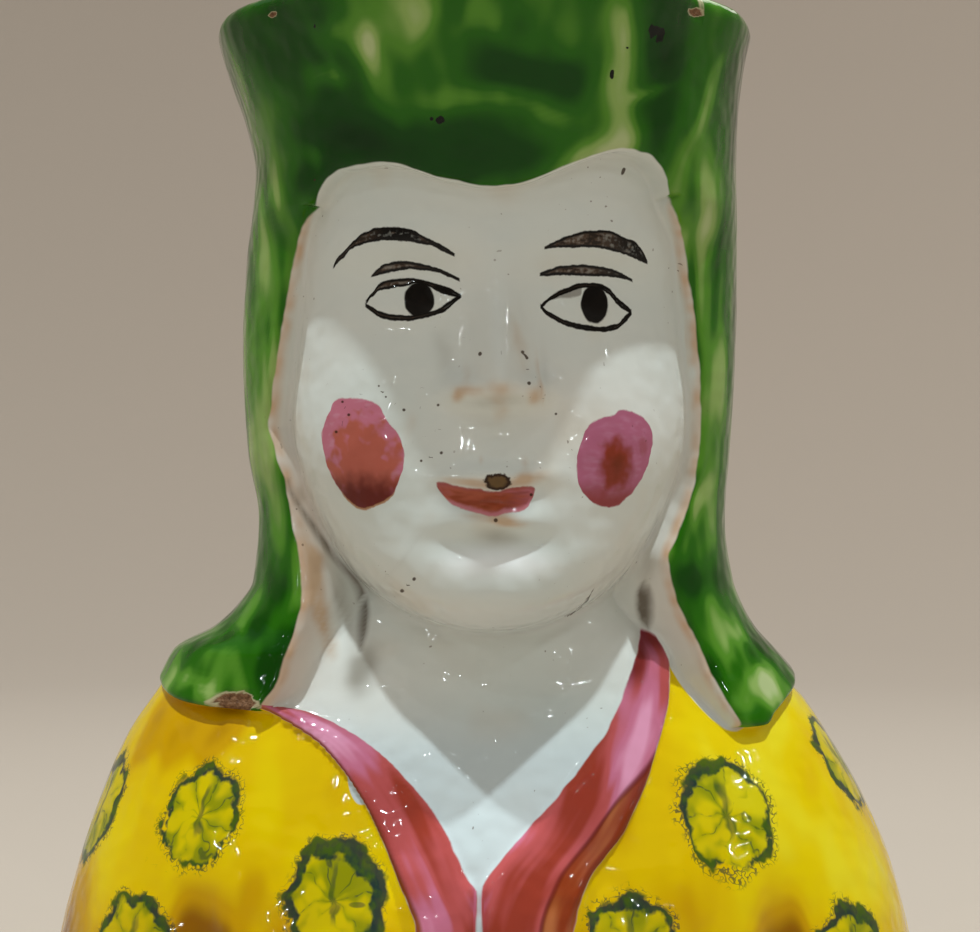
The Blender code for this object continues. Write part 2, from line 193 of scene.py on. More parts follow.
# The shallow valleys beside the hat's front, and the folds of the veil behind
VALLEY_DEPTH, VALLEY_TURN, VALLEY_SPREAD = 2.4, math.radians(43), math.radians(12)
VALLEY_FROM, VALLEY_TO = 168.0, 194.0
FOLD_DEPTH, FOLDS = 0.7, 9
FOLDS_FROM_TURN, FOLDS_TO_TURN = 1.9, 2.5
FOLDS_DEEPEST, FOLDS_END = 70.0, 130.0

# The nose by height: how far it stands out, as a share of its relief, and its half-width
NOSE = (
    (115, 0, 4.5), (118.4, 0.04, 5.2), (120.2, 0.38, 6), (122.2, 0.86, 6.4), (124.4, 1, 6), (127, 0.95, 5.2),
    (131.5, 0.74, 4.8), (137, 0.5, 4.4), (143, 0.27, 4.4), (148.5, 0.11, 5), (154, 0, 6),
)
NOSE_MIDDLE = 1.7

# Soft swellings and hollows: across, height, half-width, half-height, and how far they stand out
FACE_FORMS = (
    (-13.6, 141, 10.5, 8, -2.6),
    (17.1, 140.5, 10.5, 8, -2.6),
    (-13.6, 139.5, 8, 4.4, 1.9),
    (17.1, 139, 8, 4.4, 1.9),
    (-15, 150, 11, 3.6, 0.7),
    (18, 150, 11, 3.6, 0.7),
    (-5.4, 123.6, 2.9, 2.8, 1.9),
    (8.6, 123.6, 2.9, 2.8, 1.9),
    (-25, 115, 11, 12, 1.6),
    (26, 115, 11, 12, 1.6),
    (0.5, 104, 15, 10, 1.6),
    (1, 108.4, 8, 1.7, 1.6),
    (0, 104.4, 8.6, 1.5, -0.9),
    (1, 100.4, 7.4, 2.1, 2),
    (0.5, 96.2, 9, 2.4, -1.5),
    (0, 88, 9.5, 6, 1.5),
)

# The jaw's share of its way down stops short of 1, where its half-width would be nothing
ALMOST_ONE = 0.9999

# Forms too fine for the solid: the pit in the lip, the mouth's corners and the dip under the nose
FINE_FORMS = (
    (1.3, 107.4, 1.5, 1.1, -0.9),
    (-8.6, 106, 1.6, 1.2, -0.5),
    (8.2, 106, 1.6, 1.2, -0.5),
    (1.4, 115.6, 1.8, 3, -0.4),
)

# Slits between the neck and the veil's inner face: down, left edge and right edge on the painting's sheet
LEFT_SLIT = (
    (480, 288, 288.6), (489, 289, 291), (508, 298.5, 302.5), (524, 308, 314), (541, 318.5, 325.5),
    (556.5, 330, 336.5), (570, 341.5, 348.5), (582.6, 352, 359.5), (596, 357.5, 366), (612, 359.5, 368.5),
    (627, 358, 367.5), (641, 358.5, 364), (650, 360, 360.5),
)
RIGHT_SLIT = (
    (582, 643, 645), (587, 640, 649), (595, 637, 652), (606, 637, 653), (616, 639, 653), (624, 643, 651),
    (630, 647, 648),
)
SLIT_DEPTH, SLIT_EDGE = 0.6, 6.0
NO_SLIT = -12.0

# The crease beside each arm and the swelling outside it: across, half-width and heights
CREASE_AT, CREASE_HALF_WIDTH = 52.0, 4.5
SWELL_AT, SWELL_HALF_WIDTH, SWELL = 67.0, 8.0, 1.6
ARMS_DEEPEST, ARMS_END = 14.0, 46.0

# Chips out of the veil's hem and the rim, by place on the painting's sheet: across, down, half-width,
# half-height and depth in millimetres
CHIPS = ((232, 703, 26, 12, 1.2), (697, 13, 9.5, 5, 0.5), (272, 15, 6, 3.5, 0.3))

# How ragged a chip's outline is, how steeply it deepens and how rough its bottom is, with wave lengths
CHIP_RAGGED, CHIP_RAGGED_LENGTH = 0.35, 1.1
CHIP_STEEPNESS = 2.2
CHIP_GRIT, CHIP_GRIT_LENGTH = 0.5, 0.5
CHIP_REACH = 1.6

# Unevenness of the pressed clay and of the glaze: wave length and height
WAVES = ((17.0, 0.34), (7.5, 0.13))
WAVES_UPRIGHT = 0.7

# The veil's edge is looked for between these turns, at so many levels and in so many halvings
EDGE_NEAREST, EDGE_FARTHEST = math.radians(20), math.radians(88)
EDGE_LEVELS, EDGE_HALVINGS = 200, 30


def through(stations, at):
    """A smooth curve through stations of place and value, which never swings past them."""
    places, values = np.array(stations, float).T
    steps = np.diff(places)
    slopes = np.diff(values) / steps
    tangents = np.zeros(len(places))
    together = slopes[:-1] * slopes[1:] > 0
    total = np.where(together, slopes[:-1] + slopes[1:], 1)
    tangents[1:-1] = np.where(together, 2 * slopes[:-1] * slopes[1:] / total, 0)
    tangents[0], tangents[-1] = slopes[0], slopes[-1]
    span = np.clip(np.searchsorted(places, at) - 1, 0, len(steps) - 1)
    t = np.clip((at - places[span]) / steps[span], 0, 1)
    start = (1 + 2 * t) * (1 - t) ** 2 * values[span]
    end = t**2 * (3 - 2 * t) * values[span + 1]
    bend = t * (1 - t) ** 2 * tangents[span] - t**2 * (1 - t) * tangents[span + 1]
    return start + end + bend * steps[span]


def column(table, number):
    """The stations of one column of a profile table."""
    return [(row[0], row[number]) for row in table]


def fade(value, start, end):
    """0 at start, 1 at end, and a soft passage between."""
    t = np.clip((value - start) / (end - start), 0, 1)
    return t * t * (3 - 2 * t)


def between(low, high, share):
    return low + (high - low) * share


def smooth_max(a, b, blend):
    """The greater of two, rounded over where they meet."""
    near = np.maximum(blend - np.abs(a - b), 0) / blend
    return np.maximum(a, b) + near**2 * blend / 4


def oval(turn, left, right, ahead, behind, power):
    """Distance from the axis to an oval with its own reach to each side."""
    side = np.where(np.sin(turn) < 0, left, right)
    reach = np.where(np.cos(turn) > 0, ahead, behind)
    total = np.abs(np.sin(turn) / side) ** power + np.abs(np.cos(turn) / reach) ** power
    return total ** (-1 / power)


def profile(table, turn, height, power):
    sides = [through(column(table, number), height) for number in (1, 2, 3, 4)]
    return oval(turn, *sides, power)


def bump(across, height, form):
    """The relief of a soft form of the face."""
    middle, level, half_width, half_height, relief = form
    return relief * np.exp(-(((across - middle) / half_width) ** 2) - ((height - level) / half_height) ** 2)


def nose(across, height):
    stand = through(column(NOSE, 1), height) * NOSE_RELIEF
    half_width = through(column(NOSE, 2), height)
    return stand * np.exp(-(((across - NOSE_MIDDLE) / half_width) ** 2))


def in_left_lapel(across, height):
    return np.minimum(
        across - through(LAPEL_LEFT_OUTER, height), through(LAPEL_LEFT_INNER, height) - across
    )


def in_right_lapel(across, height):
    return np.minimum(
        across - through(LAPEL_RIGHT_INNER, height), through(LAPEL_RIGHT_OUTER, height) - across
    )


def lapels(across, height):
    """Relief of the two lapels, which meet in a V and run on side by side to the cut."""
    left = fade(in_left_lapel(across, height), 0, LAPEL_EDGE)
    right = fade(in_right_lapel(across, height), 0, LAPEL_EDGE)
    shown = 1 - fade(height, LAPELS_FADE, LAPELS_UP_TO)
    return np.maximum(left, right) * shown * LAPEL_RELIEF


def arms(across, height):
    """The crease beside each arm and the arm's swelling outside it, deeper towards the cut."""
    out = np.abs(across)
    crease = ARM_CREASE_DEPTH * np.exp(-(((out - CREASE_AT) / CREASE_HALF_WIDTH) ** 2))
    swell = SWELL * np.exp(-(((out - SWELL_AT) / SWELL_HALF_WIDTH) ** 2))
    return (swell - crease) * (1 - fade(height, ARMS_DEEPEST, ARMS_END))


def bare_radius(turn, height):
    """The robe, neck and face under the veil and the hat."""
    below = np.clip((FACE_WIDEST_AT - height) / (FACE_WIDEST_AT - CHIN_AT), 0, ALMOST_ONE)
    half_width = FACE_HALF_WIDTH * (1 - below**JAW_POWER) ** (1 / JAW_POWER)
    reach = through(FACE_REACH, height)
    face = oval(turn, half_width, half_width, reach, reach, FACE_POWER)
    neck = profile(NECK, turn, height, NECK_POWER)
    robe = profile(ROBE, turn, height, ROBE_POWER)
    plain = smooth_max(smooth_max(robe, neck, NECK_BLEND), face, CHIN_BLEND)
    ahead = fade(np.cos(turn), 0, RELIEF_FADES_UNDER)
    across = plain * np.sin(turn)
    dressed = plain + (lapels(across, height) + arms(across, height)) * ahead
    radius = dressed
    for _ in range(SETTLING_ROUNDS):
        across = radius * np.sin(turn)
        relief = nose(across, height)
        for form in FACE_FORMS + FINE_FORMS:
            relief = relief + bump(across, height, form)
        radius = dressed + relief * ahead
    return radius


def cover_radius(turn, height):
    """The outside of the veil and the hat, with a shallow valley on each side of the hat's front."""
    plain = profile(VEIL_AND_HAT, turn, height, VEIL_POWER)
    valley = VALLEY_DEPTH * np.exp(-(((np.abs(turn) - VALLEY_TURN) / VALLEY_SPREAD) ** 2))
    behind = fade(np.abs(turn), FOLDS_FROM_TURN, FOLDS_TO_TURN) * (1 - fade(height, FOLDS_DEEPEST, FOLDS_END))
    folds = FOLD_DEPTH * np.cos(turn * FOLDS)
    return plain - valley * fade(height, VALLEY_FROM, VALLEY_TO) + folds * behind


def edge_turns(stations):
    """How far round the veil's front edge lies, level by level: where the cover reaches as far out."""
    levels = np.linspace(stations[0][0], stations[-1][0], EDGE_LEVELS)
    out = through(stations, levels)
    low, high = np.full_like(levels, EDGE_NEAREST), np.full_like(levels, EDGE_FARTHEST)
    for _ in range(EDGE_HALVINGS):
        middle = (low + high) / 2
        short = cover_radius(np.sign(out) * middle, levels) * np.sin(middle) < np.abs(out)
        low, high = np.where(short, middle, low), np.where(short, high, middle)
    return levels, (low + high) / 2


LEFT_EDGE_TURNS, RIGHT_EDGE_TURNS = edge_turns(VEIL_EDGE_LEFT), edge_turns(VEIL_EDGE_RIGHT)


def edge_turn(place, height):
    """Angle between the front and the veil's front edge on a place's side."""
    return np.where(place < 0, np.interp(height, *LEFT_EDGE_TURNS), np.interp(height, *RIGHT_EDGE_TURNS))


def spread(low, high, count, density=None):
    """Places from low to high, closer together where the density is higher."""
    fine = np.linspace(low, high, FINE_STEPS)
    weight = np.ones_like(fine) if density is None else density(fine)
    total = np.concatenate([[0], np.cumsum((weight[1:] + weight[:-1]) / 2)])
    return np.interp(np.linspace(0, total[-1], count + 1), total, fine)


def near_edge(place):
    """How close together the veil's columns lie."""
    return 1 + EDGE_CROWDING * np.exp(-(place - 1) / EDGE_CROWDING_WIDTH)


def near_mouth(share):
    """How close together the rows of the head lie."""
    return 1 + MOUTH_CROWDING * np.exp(-(((share - MOUTH_AT) / MOUTH_CROWDING_WIDTH) ** 2))


def columns_round():
    """Places of the columns from the left back round to the right back, and their shares of the veil."""
    face = spread(-1, 1, FACE_COLUMNS)
    step = np.linspace(0, 1, EDGE_STEPS + 1)[1:]
    veil = spread(1, 2, VEIL_COLUMNS, near_edge)[1:]
    places = np.concatenate([-veil[::-1], -np.ones(EDGE_STEPS), face, np.ones(EDGE_STEPS), veil[:-1]])
    on_veil = np.ones(len(veil))
    shares = np.concatenate([on_veil, step[::-1], np.zeros(len(face)), step, on_veil[:-1]])
    return places, shares


def up_the_step(share, step):
    """How far past an edge and how high up a rounded step a share lies, and the step's roundings."""
    full = np.maximum(step, LEAST_STEP)
    size = np.minimum(1, full / (STEP_FILLET + VEIL_ROUND))
    foot, crown = STEP_FILLET * size, VEIL_ROUND * size
    quarter = math.pi / 2
    along = share * (full + (foot + crown) * (quarter - 1))
    in_foot = np.clip(along / foot, 0, quarter)
    in_wall = np.clip(along - foot * quarter, 0, full - foot - crown)
    in_crown = np.clip((along - foot * quarter - (full - foot - crown)) / crown, 0, quarter)
    offset = crown * (1 - np.cos(in_crown)) - foot * (1 - np.sin(in_foot))
    rise = foot * (1 - np.cos(in_foot)) + in_wall + crown * np.sin(in_crown)
    return offset, rise / full, foot, crown


def rows_up_the_step(edge, step, fullness):
    """Heights of the rows up a rounded step with their shares of it, evenly spaced where it fades out."""
    for share in np.linspace(0, 1, EDGE_STEPS + 1)[1:-1]:
        offset, rise, foot, crown = up_the_step(share, step)
        yield edge + between(between(-foot, crown, share), offset, fullness), rise


def row_levels(places, shares):
    """Heights of each row with its shares of the veil and of the hat, then both edges and their steps."""
    hem, hat_edge = through(HEM, places), through(HAT_EDGE, places)
    edge = np.where(np.abs(places) < 1, np.abs(places) * edge_turn(places, hat_edge), 0)
    at_hem = np.sign(places) * veil_turn(places, hem)
    hem_step = (cover_radius(at_hem, hem) - bare_radius(at_hem, hem)) * shares
    at_hat = np.sign(places) * edge
    hat_step = (cover_radius(at_hat, hat_edge) - bare_radius(at_hat, hat_edge)) * (1 - shares)
    _, _, hem_foot, hem_crown = up_the_step(0, hem_step)
    _, _, hat_foot, hat_crown = up_the_step(0, hat_step)
    lip = through(RIM, places) - WALL / 2
    none, whole = np.zeros_like(places), np.ones_like(places)
    rows = [
        (between(FOOT_ROUND, hem - hem_foot, share), none, none) for share in spread(0, 1, ROBE_ROWS)
    ]
    rows += [(height, rise, none) for height, rise in rows_up_the_step(hem, hem_step, fade(shares, 0, 1))]
    rows += [
        (between(hem + hem_crown, hat_edge - hat_foot, share), whole, none)
        for share in spread(0, 1, HEAD_ROWS, near_mouth)
    ]
    rows += [
        (height, whole, rise) for height, rise in rows_up_the_step(hat_edge, hat_step, fade(shares, 1, 0))
    ]
    rows += [
        (between(hat_edge + hat_crown, lip, share), whole, whole) for share in spread(0, 1, HAT_ROWS)
    ]
    return rows, hem, hat_edge, hem_step, hat_step


def veil_turn(places, height):
    """Angle round the axis of places on the veil."""
    edge = edge_turn(places, height)
    return edge + np.maximum(np.abs(places) - 1, 0) * (math.pi - edge)


def outer_rows(places, shares):
    """Rows of points of the outer surface with the distances that tell the glazes apart."""
    rows, hem, hat_edge, hem_step, hat_step = row_levels(places, shares)
    side = np.sign(places)
    out = np.abs(places)
    points, fields = [], []
    for height, above_hem, above_hat_edge in rows:
        edge = edge_turn(places, height)
        foot_radius = bare_radius(side * edge, height)
        crown_radius = np.maximum(cover_radius(side * edge, height), foot_radius + VEIL_LEAST_THICKNESS)
        step = crown_radius - foot_radius
        offset, rise, foot, crown = up_the_step(shares, step)
        stepped = above_hem * (1 - above_hat_edge)
        offset = between(between(-foot, crown, shares), offset, stepped)
        start = edge + crown / crown_radius
        before = edge - foot / foot_radius
        on_step = edge + offset / between(foot_radius, crown_radius, rise)
        behind = start + (out - 1) * (math.pi - start)
        turn = np.select([out < 1, out > 1], [out * before, behind], on_step) * side
        bare = bare_radius(turn, height)
        cover = np.maximum(cover_radius(turn, height), bare + VEIL_LEAST_THICKNESS)
        on_veil = (np.abs(turn) - start) * cover + crown
        on_face = -foot - step * stepped - (before - np.abs(turn)) * bare
        up_step = offset - (1 - rise) * step * stepped
        past_edge = np.select([out < 1, out > 1], [on_face, on_veil], up_step)
        covered = 1 - (1 - rise * above_hem) * (1 - above_hat_edge)
        covered = np.where((shares == 0) & (above_hat_edge == 0), 0, covered)
        radius = between(bare, cover, covered)
        over_hem = height - hem - (1 - above_hem) * hem_step + GREEN_BELOW_HEM
        over_hat_edge = height - hat_edge - (1 - above_hat_edge) * hat_step
        in_cover = smooth_max(np.minimum(past_edge, over_hem), over_hat_edge, COVER_CORNER)
        across = radius * np.sin(turn)
        in_left, in_right = in_left_lapel(across, height), in_right_lapel(across, height)
        in_lapel = np.where(np.cos(turn) < LAPELS_IN_FRONT, NO_LAPEL, np.maximum(in_left, in_right))
        left_fold = across - through(LAPEL_LEFT_OUTER, height)
        right_fold = through(LAPEL_RIGHT_OUTER, height) - across
        from_fold = np.where(in_left > in_right, left_fold, right_fold)
        right_robe = np.minimum(-right_fold, through(ROBE_TOP_RIGHT, across) - height)
        in_robe = np.select([np.cos(turn) < 0, across < 0], [WELL_INSIDE, -left_fold], right_robe)
        points.append(np.stack([across, -radius * np.cos(turn), height], axis=1))
        fields.append(np.stack([in_cover, past_edge, in_lapel, in_robe, from_fold], axis=1))
    return np.array(points), np.array(fields)


def noise_at(points, length):
    """Smooth noise at each point, in waves about so long."""
    return np.array([noise.noise(Vector(point)) for point in (points / length).tolist()])


def in_slit(points):
    """How far inside a slit each point is, in units of the painting's sheet."""
    across, down = on_sheet(points)
    inside = np.full(across.shape, NO_SLIT)
    for stations in (LEFT_SLIT, RIGHT_SLIT):
        left, right = (through(column(stations, number), down) for number in (1, 2))
        ends = np.minimum(down - stations[0][0], stations[-1][0] - down)
        inside = np.maximum(inside, np.minimum(np.minimum(across - left, right - across), ends))
    return np.where(points[..., 1] < 0, inside, NO_SLIT)


def weathered(points):
    """Points moved by the clay's unevenness, the chips and the slits, and how bare the clay is at each."""
    flat = points.reshape(-1, 3)
    shift = sum(height * noise_at(flat * (1, 1, WAVES_UPRIGHT), length) for length, height in WAVES)
    clay = np.full(len(flat), -1.0)
    across, down = on_sheet(flat)
    for middle_across, middle_down, half_width, half_height, deepest in CHIPS:
        away = np.hypot((across - middle_across) / half_width, (down - middle_down) / half_height)
        near = np.flatnonzero((away < CHIP_REACH) & (flat[:, 1] < 0))
        inside = 1 - away[near] + CHIP_RAGGED * noise_at(flat[near], CHIP_RAGGED_LENGTH)
        clay[near] = np.maximum(clay[near], inside)
        rough = 1 + CHIP_GRIT * noise_at(flat[near], CHIP_GRIT_LENGTH)
        shift[near] -= deepest * np.clip(inside * CHIP_STEEPNESS, 0, 1) * rough
    shift -= SLIT_DEPTH * fade(in_slit(flat), 0, SLIT_EDGE)
    outward = flat[:, :2] / np.linalg.norm(flat[:, :2], axis=1)[:, None]
    moved = flat.copy()
    moved[:, :2] += outward * shift[:, None]
    return moved.reshape(points.shape), clay.reshape(points.shape[:2])


def hollow_radius(outside, direction, height):
    """The farthest a ray may go from the axis and still keep a wall's thickness from the outside."""
    along = outside[:, :2] @ direction
    size = (outside[:, :2] ** 2).sum(1) + (outside[:, 2] - height) ** 2 - WALL**2
    root = along**2 - size
    meets = (root > 0) & (along > 0)
    return (along[meets] - np.sqrt(root[meets])).min()


def smoothed(radii):
    """A hollow's radii, row by row, made smooth by drawing the farthest ones in."""
    for _ in range(HOLLOW_SMOOTHINGS):
        rows = np.pad(radii, ((1, 1), (0, 0)), mode="edge")
        round_about = (np.roll(radii, 1, axis=1) + np.roll(radii, -1, axis=1)) / 2
        radii = np.minimum(radii, (rows[:-2] + rows[2:] + 2 * round_about) / 4)
    return radii


def cavity_rings(outside, rim):
    """Rings of the hollow from the lip down to the floor."""
    directions = rim[:, :2] / np.linalg.norm(rim[:, :2], axis=1)[:, None]
    levels = [between(rim[:, 2], FLOOR + FLOOR_FILLET, share) for share in spread(0, 1, CAVITY_ROWS)[1:]]
    radii = smoothed(np.array([
        [hollow_radius(outside, direction, height) for direction, height in zip(directions, heights)]
        for heights in levels
    ]))
    last = radii[-1]
    for angle in np.linspace(0, math.pi / 2, FLOOR_FILLET_STEPS + 1)[1:]:
        levels.append(np.full(len(rim), FLOOR + FLOOR_FILLET * (1 - math.sin(angle))))
        radii = np.vstack([radii, last - FLOOR_FILLET * (1 - math.cos(angle))])
    return [
        np.column_stack([directions * radius[:, None], heights]) for radius, heights in zip(radii, levels)
    ]


def lip_rings(top):
    """The rounded lip over the top row of the outside, ending inside the mouth."""
    radius = np.linalg.norm(top[:, :2], axis=1)
    directions = top[:, :2] / radius[:, None]
    rings = []
    for angle in np.linspace(0, math.pi, LIP_STEPS + 1)[1:]:
        out = radius - WALL / 2 * (1 - math.cos(angle))
        rings.append(np.column_stack([directions * out[:, None], top[:, 2] + WALL / 2 * math.sin(angle)]))
    return rings


def foot_rings(low):
    """The rounded foot under the lowest row of the outside, from the flat underside up."""
    radius = np.linalg.norm(low[:, :2], axis=1)
    directions = low[:, :2] / radius[:, None]
    rings = []
    for angle in FOOT_ANGLES:
        out = radius - FOOT_ROUND * (1 - math.cos(angle))
        heights = np.full(len(low), FOOT_ROUND * (1 - math.sin(angle)))
        rings.append(np.column_stack([directions * out[:, None], heights]))
    return rings


# The painting is laid out on a sheet seen from a fixed point in front of the bust, in millimetres
SIGHT_DISTANCE, SIGHT_HEIGHT = 450.0, 110.0
SHEET_STEP = 0.195
SHEET_MIDDLE = (490, 466)

# Sponged rosettes on the robe, by their place on the sheet, with their half-width in millimetres and ink
ROSETTES_SEEN = (
    (200, 815, 8.6, 0.35), (332, 900, 9.4, 1.0), (728, 815, 9.8, 0.45), (840, 762, 8.8, 0.7),
    (632, 952, 9.2, 0.5), (130, 952, 9.2, 0.5), (858, 962, 9.2, 0.7),
)
# The rest of the rosettes by turn in degrees and height, with their half-width and ink
ROSETTES_BEHIND = (
    (-80, 45, 9.2, 0.6), (-101, 18, 9.4, 0.9), (100, 20, 9.2, 0.4), (-126, 44, 9.2, 0.5), (127, 45, 9.4, 0.8),
    (-151, 18, 9.0, 0.7), (153, 19, 9.2, 0.5), (179, 41, 9.4, 0.6), (-44, 9, 9.0, 0.5), (-13, 11, 8.6, 0.6),
    (38, 9, 9.0, 0.5),
)
ROSETTE_TALLER = 1.18
# How many rows and columns away the slope of the surface under a rosette is measured
SLOPE_STEP = 2
# A rosette's number and its ink are kept in one value: the ink is this share of what follows the point
INK_SHARE = 0.8
# Places near the border between two rosettes count as far from both
ROSETTE_BORDER = 2.0
ROSETTE_REACH = 17.0
NO_ROSETTE = 40.0
# Near that border places are driven this many times farther out, so that no ring shows there
ROSETTE_DRIVEN_OUT = 10
# Points farther back than the front shows count as this much farther off from places on the sheet
BEHIND, SEEN_UP_TO = 1000, 10

# Dark specks fired into the glaze, by place across and down on the sheet and size in its units
SPECKS = (
    (414, 579, 2.2), (402, 591, 2.6), (480, 354, 2.2), (523, 352, 2.4), (527, 358, 1.8), (529, 383, 2.2),
    (438, 405, 1.8), (441, 453, 2.2), (421, 461, 1.8), (379, 386, 1.6), (404, 410, 2.0), (386, 397, 1.4),
    (496, 520, 2.4), (531, 495, 2.2), (343, 402, 1.8), (349, 415, 1.7), (337, 432, 1.8), (314, 180, 2.0),
    (556, 414, 1.4), (620.5, 176, 1.8), (622.5, 173, 2.0), (624.5, 169.5, 1.9),
) + tuple((565 + 35 * share, 616 - 8 * share - 29 * share**2, 1.3) for share in np.linspace(0, 1, 14))
# Burst bubbles on the hat: across, down, half-width and half-height
HAT_SPOTS = (
    (432, 119, 2.4, 2.4), (442, 121.5, 5.5, 4), (653, 33, 5.5, 8), (659, 38, 4.5, 7), (626.5, 48, 1.8, 1.8),
    (612, 76, 2, 5), (315, 26, 1.6, 3),
)
# Soft strokes of thinner green, or thicker where less than 0: across, down, half-length and half-width in
# units of the sheet, lean from upright in degrees, and strength
GREEN_STROKES = (
    (361, 46, 18, 15, 30, 0.22), (336, 33, 16, 14, 0, 0.14), (332, 77, 20, 10, 78, 0.17),
    (330, 52, 40, 7, 29, 0.08), (376, 74, 56, 14, 22, 0.15), (455, 8, 32, 66, 0, 0.17),
    (412, 22, 28, 26, 0, 0.1), (505, 34, 40, 14, 57, 0.1), (560, 26, 24, 30, 0, 0.08),
    (624, 36, 44, 16, 3, 0.3), (600, 80, 40, 20, -8, 0.16), (618, 108, 44, 15, -3, 0.2),
    (598, 152, 42, 14, -62, 0.26), (440, 60, 34, 60, 0, 0.06), (706, 110, 56, 6, -20, 0.2),
    (241, 92, 50, 5, 18, 0.16), (648, 90, 20, 6, -70, 0.16), (478, 98, 60, 14, 91, 0.18),
    (546, 112, 30, 11, 74, 0.1), (508, 74, 26, 36, 0, -0.12), (563, 80, 28, 26, 0, -0.14),
    (664, 50, 28, 17, 0, -0.16), (662, 126, 34, 18, 0, -0.16), (360, 142, 62, 20, 84, -0.14),
    (488, 154, 62, 22, 90, -0.16), (262, 60, 50, 26, 10, -0.1), (315, 157, 13, 12, 0, 0.15),
    (275, 182, 34, 5, 3, 0.22), (300, 184, 24, 12, -20, -0.12), (260, 250, 60, 7, 4, 0.22),
    (272, 350, 50, 4, 4, -0.1), (262, 440, 80, 13, -6, 0.24), (299, 575, 46, 8, 6, 0.14),
    (275, 580, 30, 13, 0, -0.18), (225, 655, 30, 9, 30, 0.06), (196, 686, 20, 9, 60, 0.2),
    (268, 662, 34, 14, -10, -0.16), (240, 630, 14, 8, 40, 0.08), (714, 330, 150, 13, 0, 0.17),
    (694, 300, 90, 5, 2, -0.06), (690, 500, 40, 6, -22, -0.1), (698, 512, 34, 6, -20, 0.2),
    (718, 520, 40, 10, 0, 0.14), (690, 578, 28, 16, 60, -0.2), (706, 662, 62, 8, 25, -0.1),
    (730, 640, 44, 12, 20, 0.22), (765, 680, 24, 16, 0, 0.28), (752, 716, 22, 9, 80, -0.1),
    (704, 205, 40, 9, 4, 0.14),
)
# Ochre strokes on the white, and grey-brown painted shade under and beside the nose, under the lip, on the
# neck and in the hollows by the veil, in the same terms
OCHRE_STROKES = (
    (455, 393, 9, 6, -45, 0.6), (470, 387, 20, 4.6, 84, 0.3), (536, 397, 13, 10, 8, 0.45),
    (520, 342, 36, 9, 12, 0.3), (541, 376, 30, 2.6, 12, 0.3), (466, 372, 16, 8, 10, 0.2),
    (499, 406, 20, 12, 0, 0.3), (502, 388, 40, 7.5, 90, 0.26), (416, 420, 28, 9, -12, 0.25),
    (464, 481, 26, 6, 82, 0.62), (527, 474, 19, 8, -78, 0.8), (497, 482, 20, 6, 90, 0.3),
    (483, 456, 7, 4, 0, 0.3), (524, 457, 7, 5, 0, 0.3), (494, 521, 34, 5, 88, 0.7),
    (494, 514, 30, 3, 90, 0.3), (318, 596, 56, 11, 8, 0.85), (306, 540, 30, 6, 22, 0.4),
    (497, 342, 60, 10, 0, 0.1), (425, 520, 26, 12, 0, 0.18), (686, 330, 90, 3, 2, 0.3),
)
PAINTED_SHADE_STROKES = (
    (497, 399, 38, 8, 90, 0.4), (442, 350, 30, 13, 6, 0.34), (470, 322, 40, 7, 10, 0.16),
    (546, 370, 34, 6, 12, 0.26), (524, 318, 34, 6, 8, 0.16), (495, 538, 26, 11, 90, 0.5),
    (362, 672, 30, 17, -8, 0.85), (344, 604, 44, 10, 4, 0.5), (404, 560, 60, 4, -38, 0.2),
    (640, 640, 26, 12, 0, 0.5), (430, 636, 34, 6, 66, 0.3), (555, 636, 34, 6, -66, 0.3),
    (650, 570, 26, 8, -12, 0.35),
)
# How far back strokes reach, how far they drift and in what waves, and where the second drift is taken from
STROKES_UP_TO, STROKE_DRIFT, STROKE_WAVE, STROKE_SHIFT = 12.0, 9.0, 12.0, 3.3
SPECK_REACH = 24.0
NO_SPECK = 30.0


def on_sheet(points):
    """Places on the painting's sheet of points in millimetres."""
    scale = SIGHT_DISTANCE / SHEET_STEP / (SIGHT_DISTANCE + points[..., 1])
    across = SHEET_MIDDLE[0] + points[..., 0] * scale
    down = SHEET_MIDDLE[1] - (points[..., 2] - SIGHT_HEIGHT) * scale
    return across, down


def strokes_at(points, strokes):
    """How strongly soft strokes of colour lie over each point of the front."""
    total = np.zeros(points.shape[:2])
    front = np.nonzero(points[..., 1] < STROKES_UP_TO)
    near = points[front]
    across, down = on_sheet(near)
    across = across + STROKE_DRIFT * noise_at(near, STROKE_WAVE)
    down = down + STROKE_DRIFT * noise_at(near + STROKE_WAVE * STROKE_SHIFT, STROKE_WAVE)
    here = np.zeros(len(near))
    for middle_across, middle_down, half_length, half_width, lean, amount in strokes:
        upright, aside = math.cos(math.radians(lean)), math.sin(math.radians(lean))
        side, level = across - middle_across, down - middle_down
        along = (level * upright + side * aside) / half_length
        over = (side * upright - level * aside) / half_width
        here += amount * np.exp(-(along**2) - over**2)
    total[front] = here * fade(near[:, 1], STROKES_UP_TO, 0)
    return total


def rosette_middles(points):
    """The grid places of the rosettes' middles on the outer surface."""
    across, down = on_sheet(points)
    turn = np.degrees(np.arctan2(points[..., 0], -points[..., 1]))
    middles = []
    for place_across, place_down, *kind in ROSETTES_SEEN:
        away = np.hypot(across - place_across, down - place_down) + (points[..., 1] > SEEN_UP_TO) * BEHIND
        middles.append((*np.unravel_index(away.argmin(), away.shape), *kind))
    for place_turn, height, *kind in ROSETTES_BEHIND:
        away = np.hypot((turn - place_turn + 180) % 360 - 180, points[..., 2] - height)
        middles.append((*np.unravel_index(away.argmin(), away.shape), *kind))
    return middles


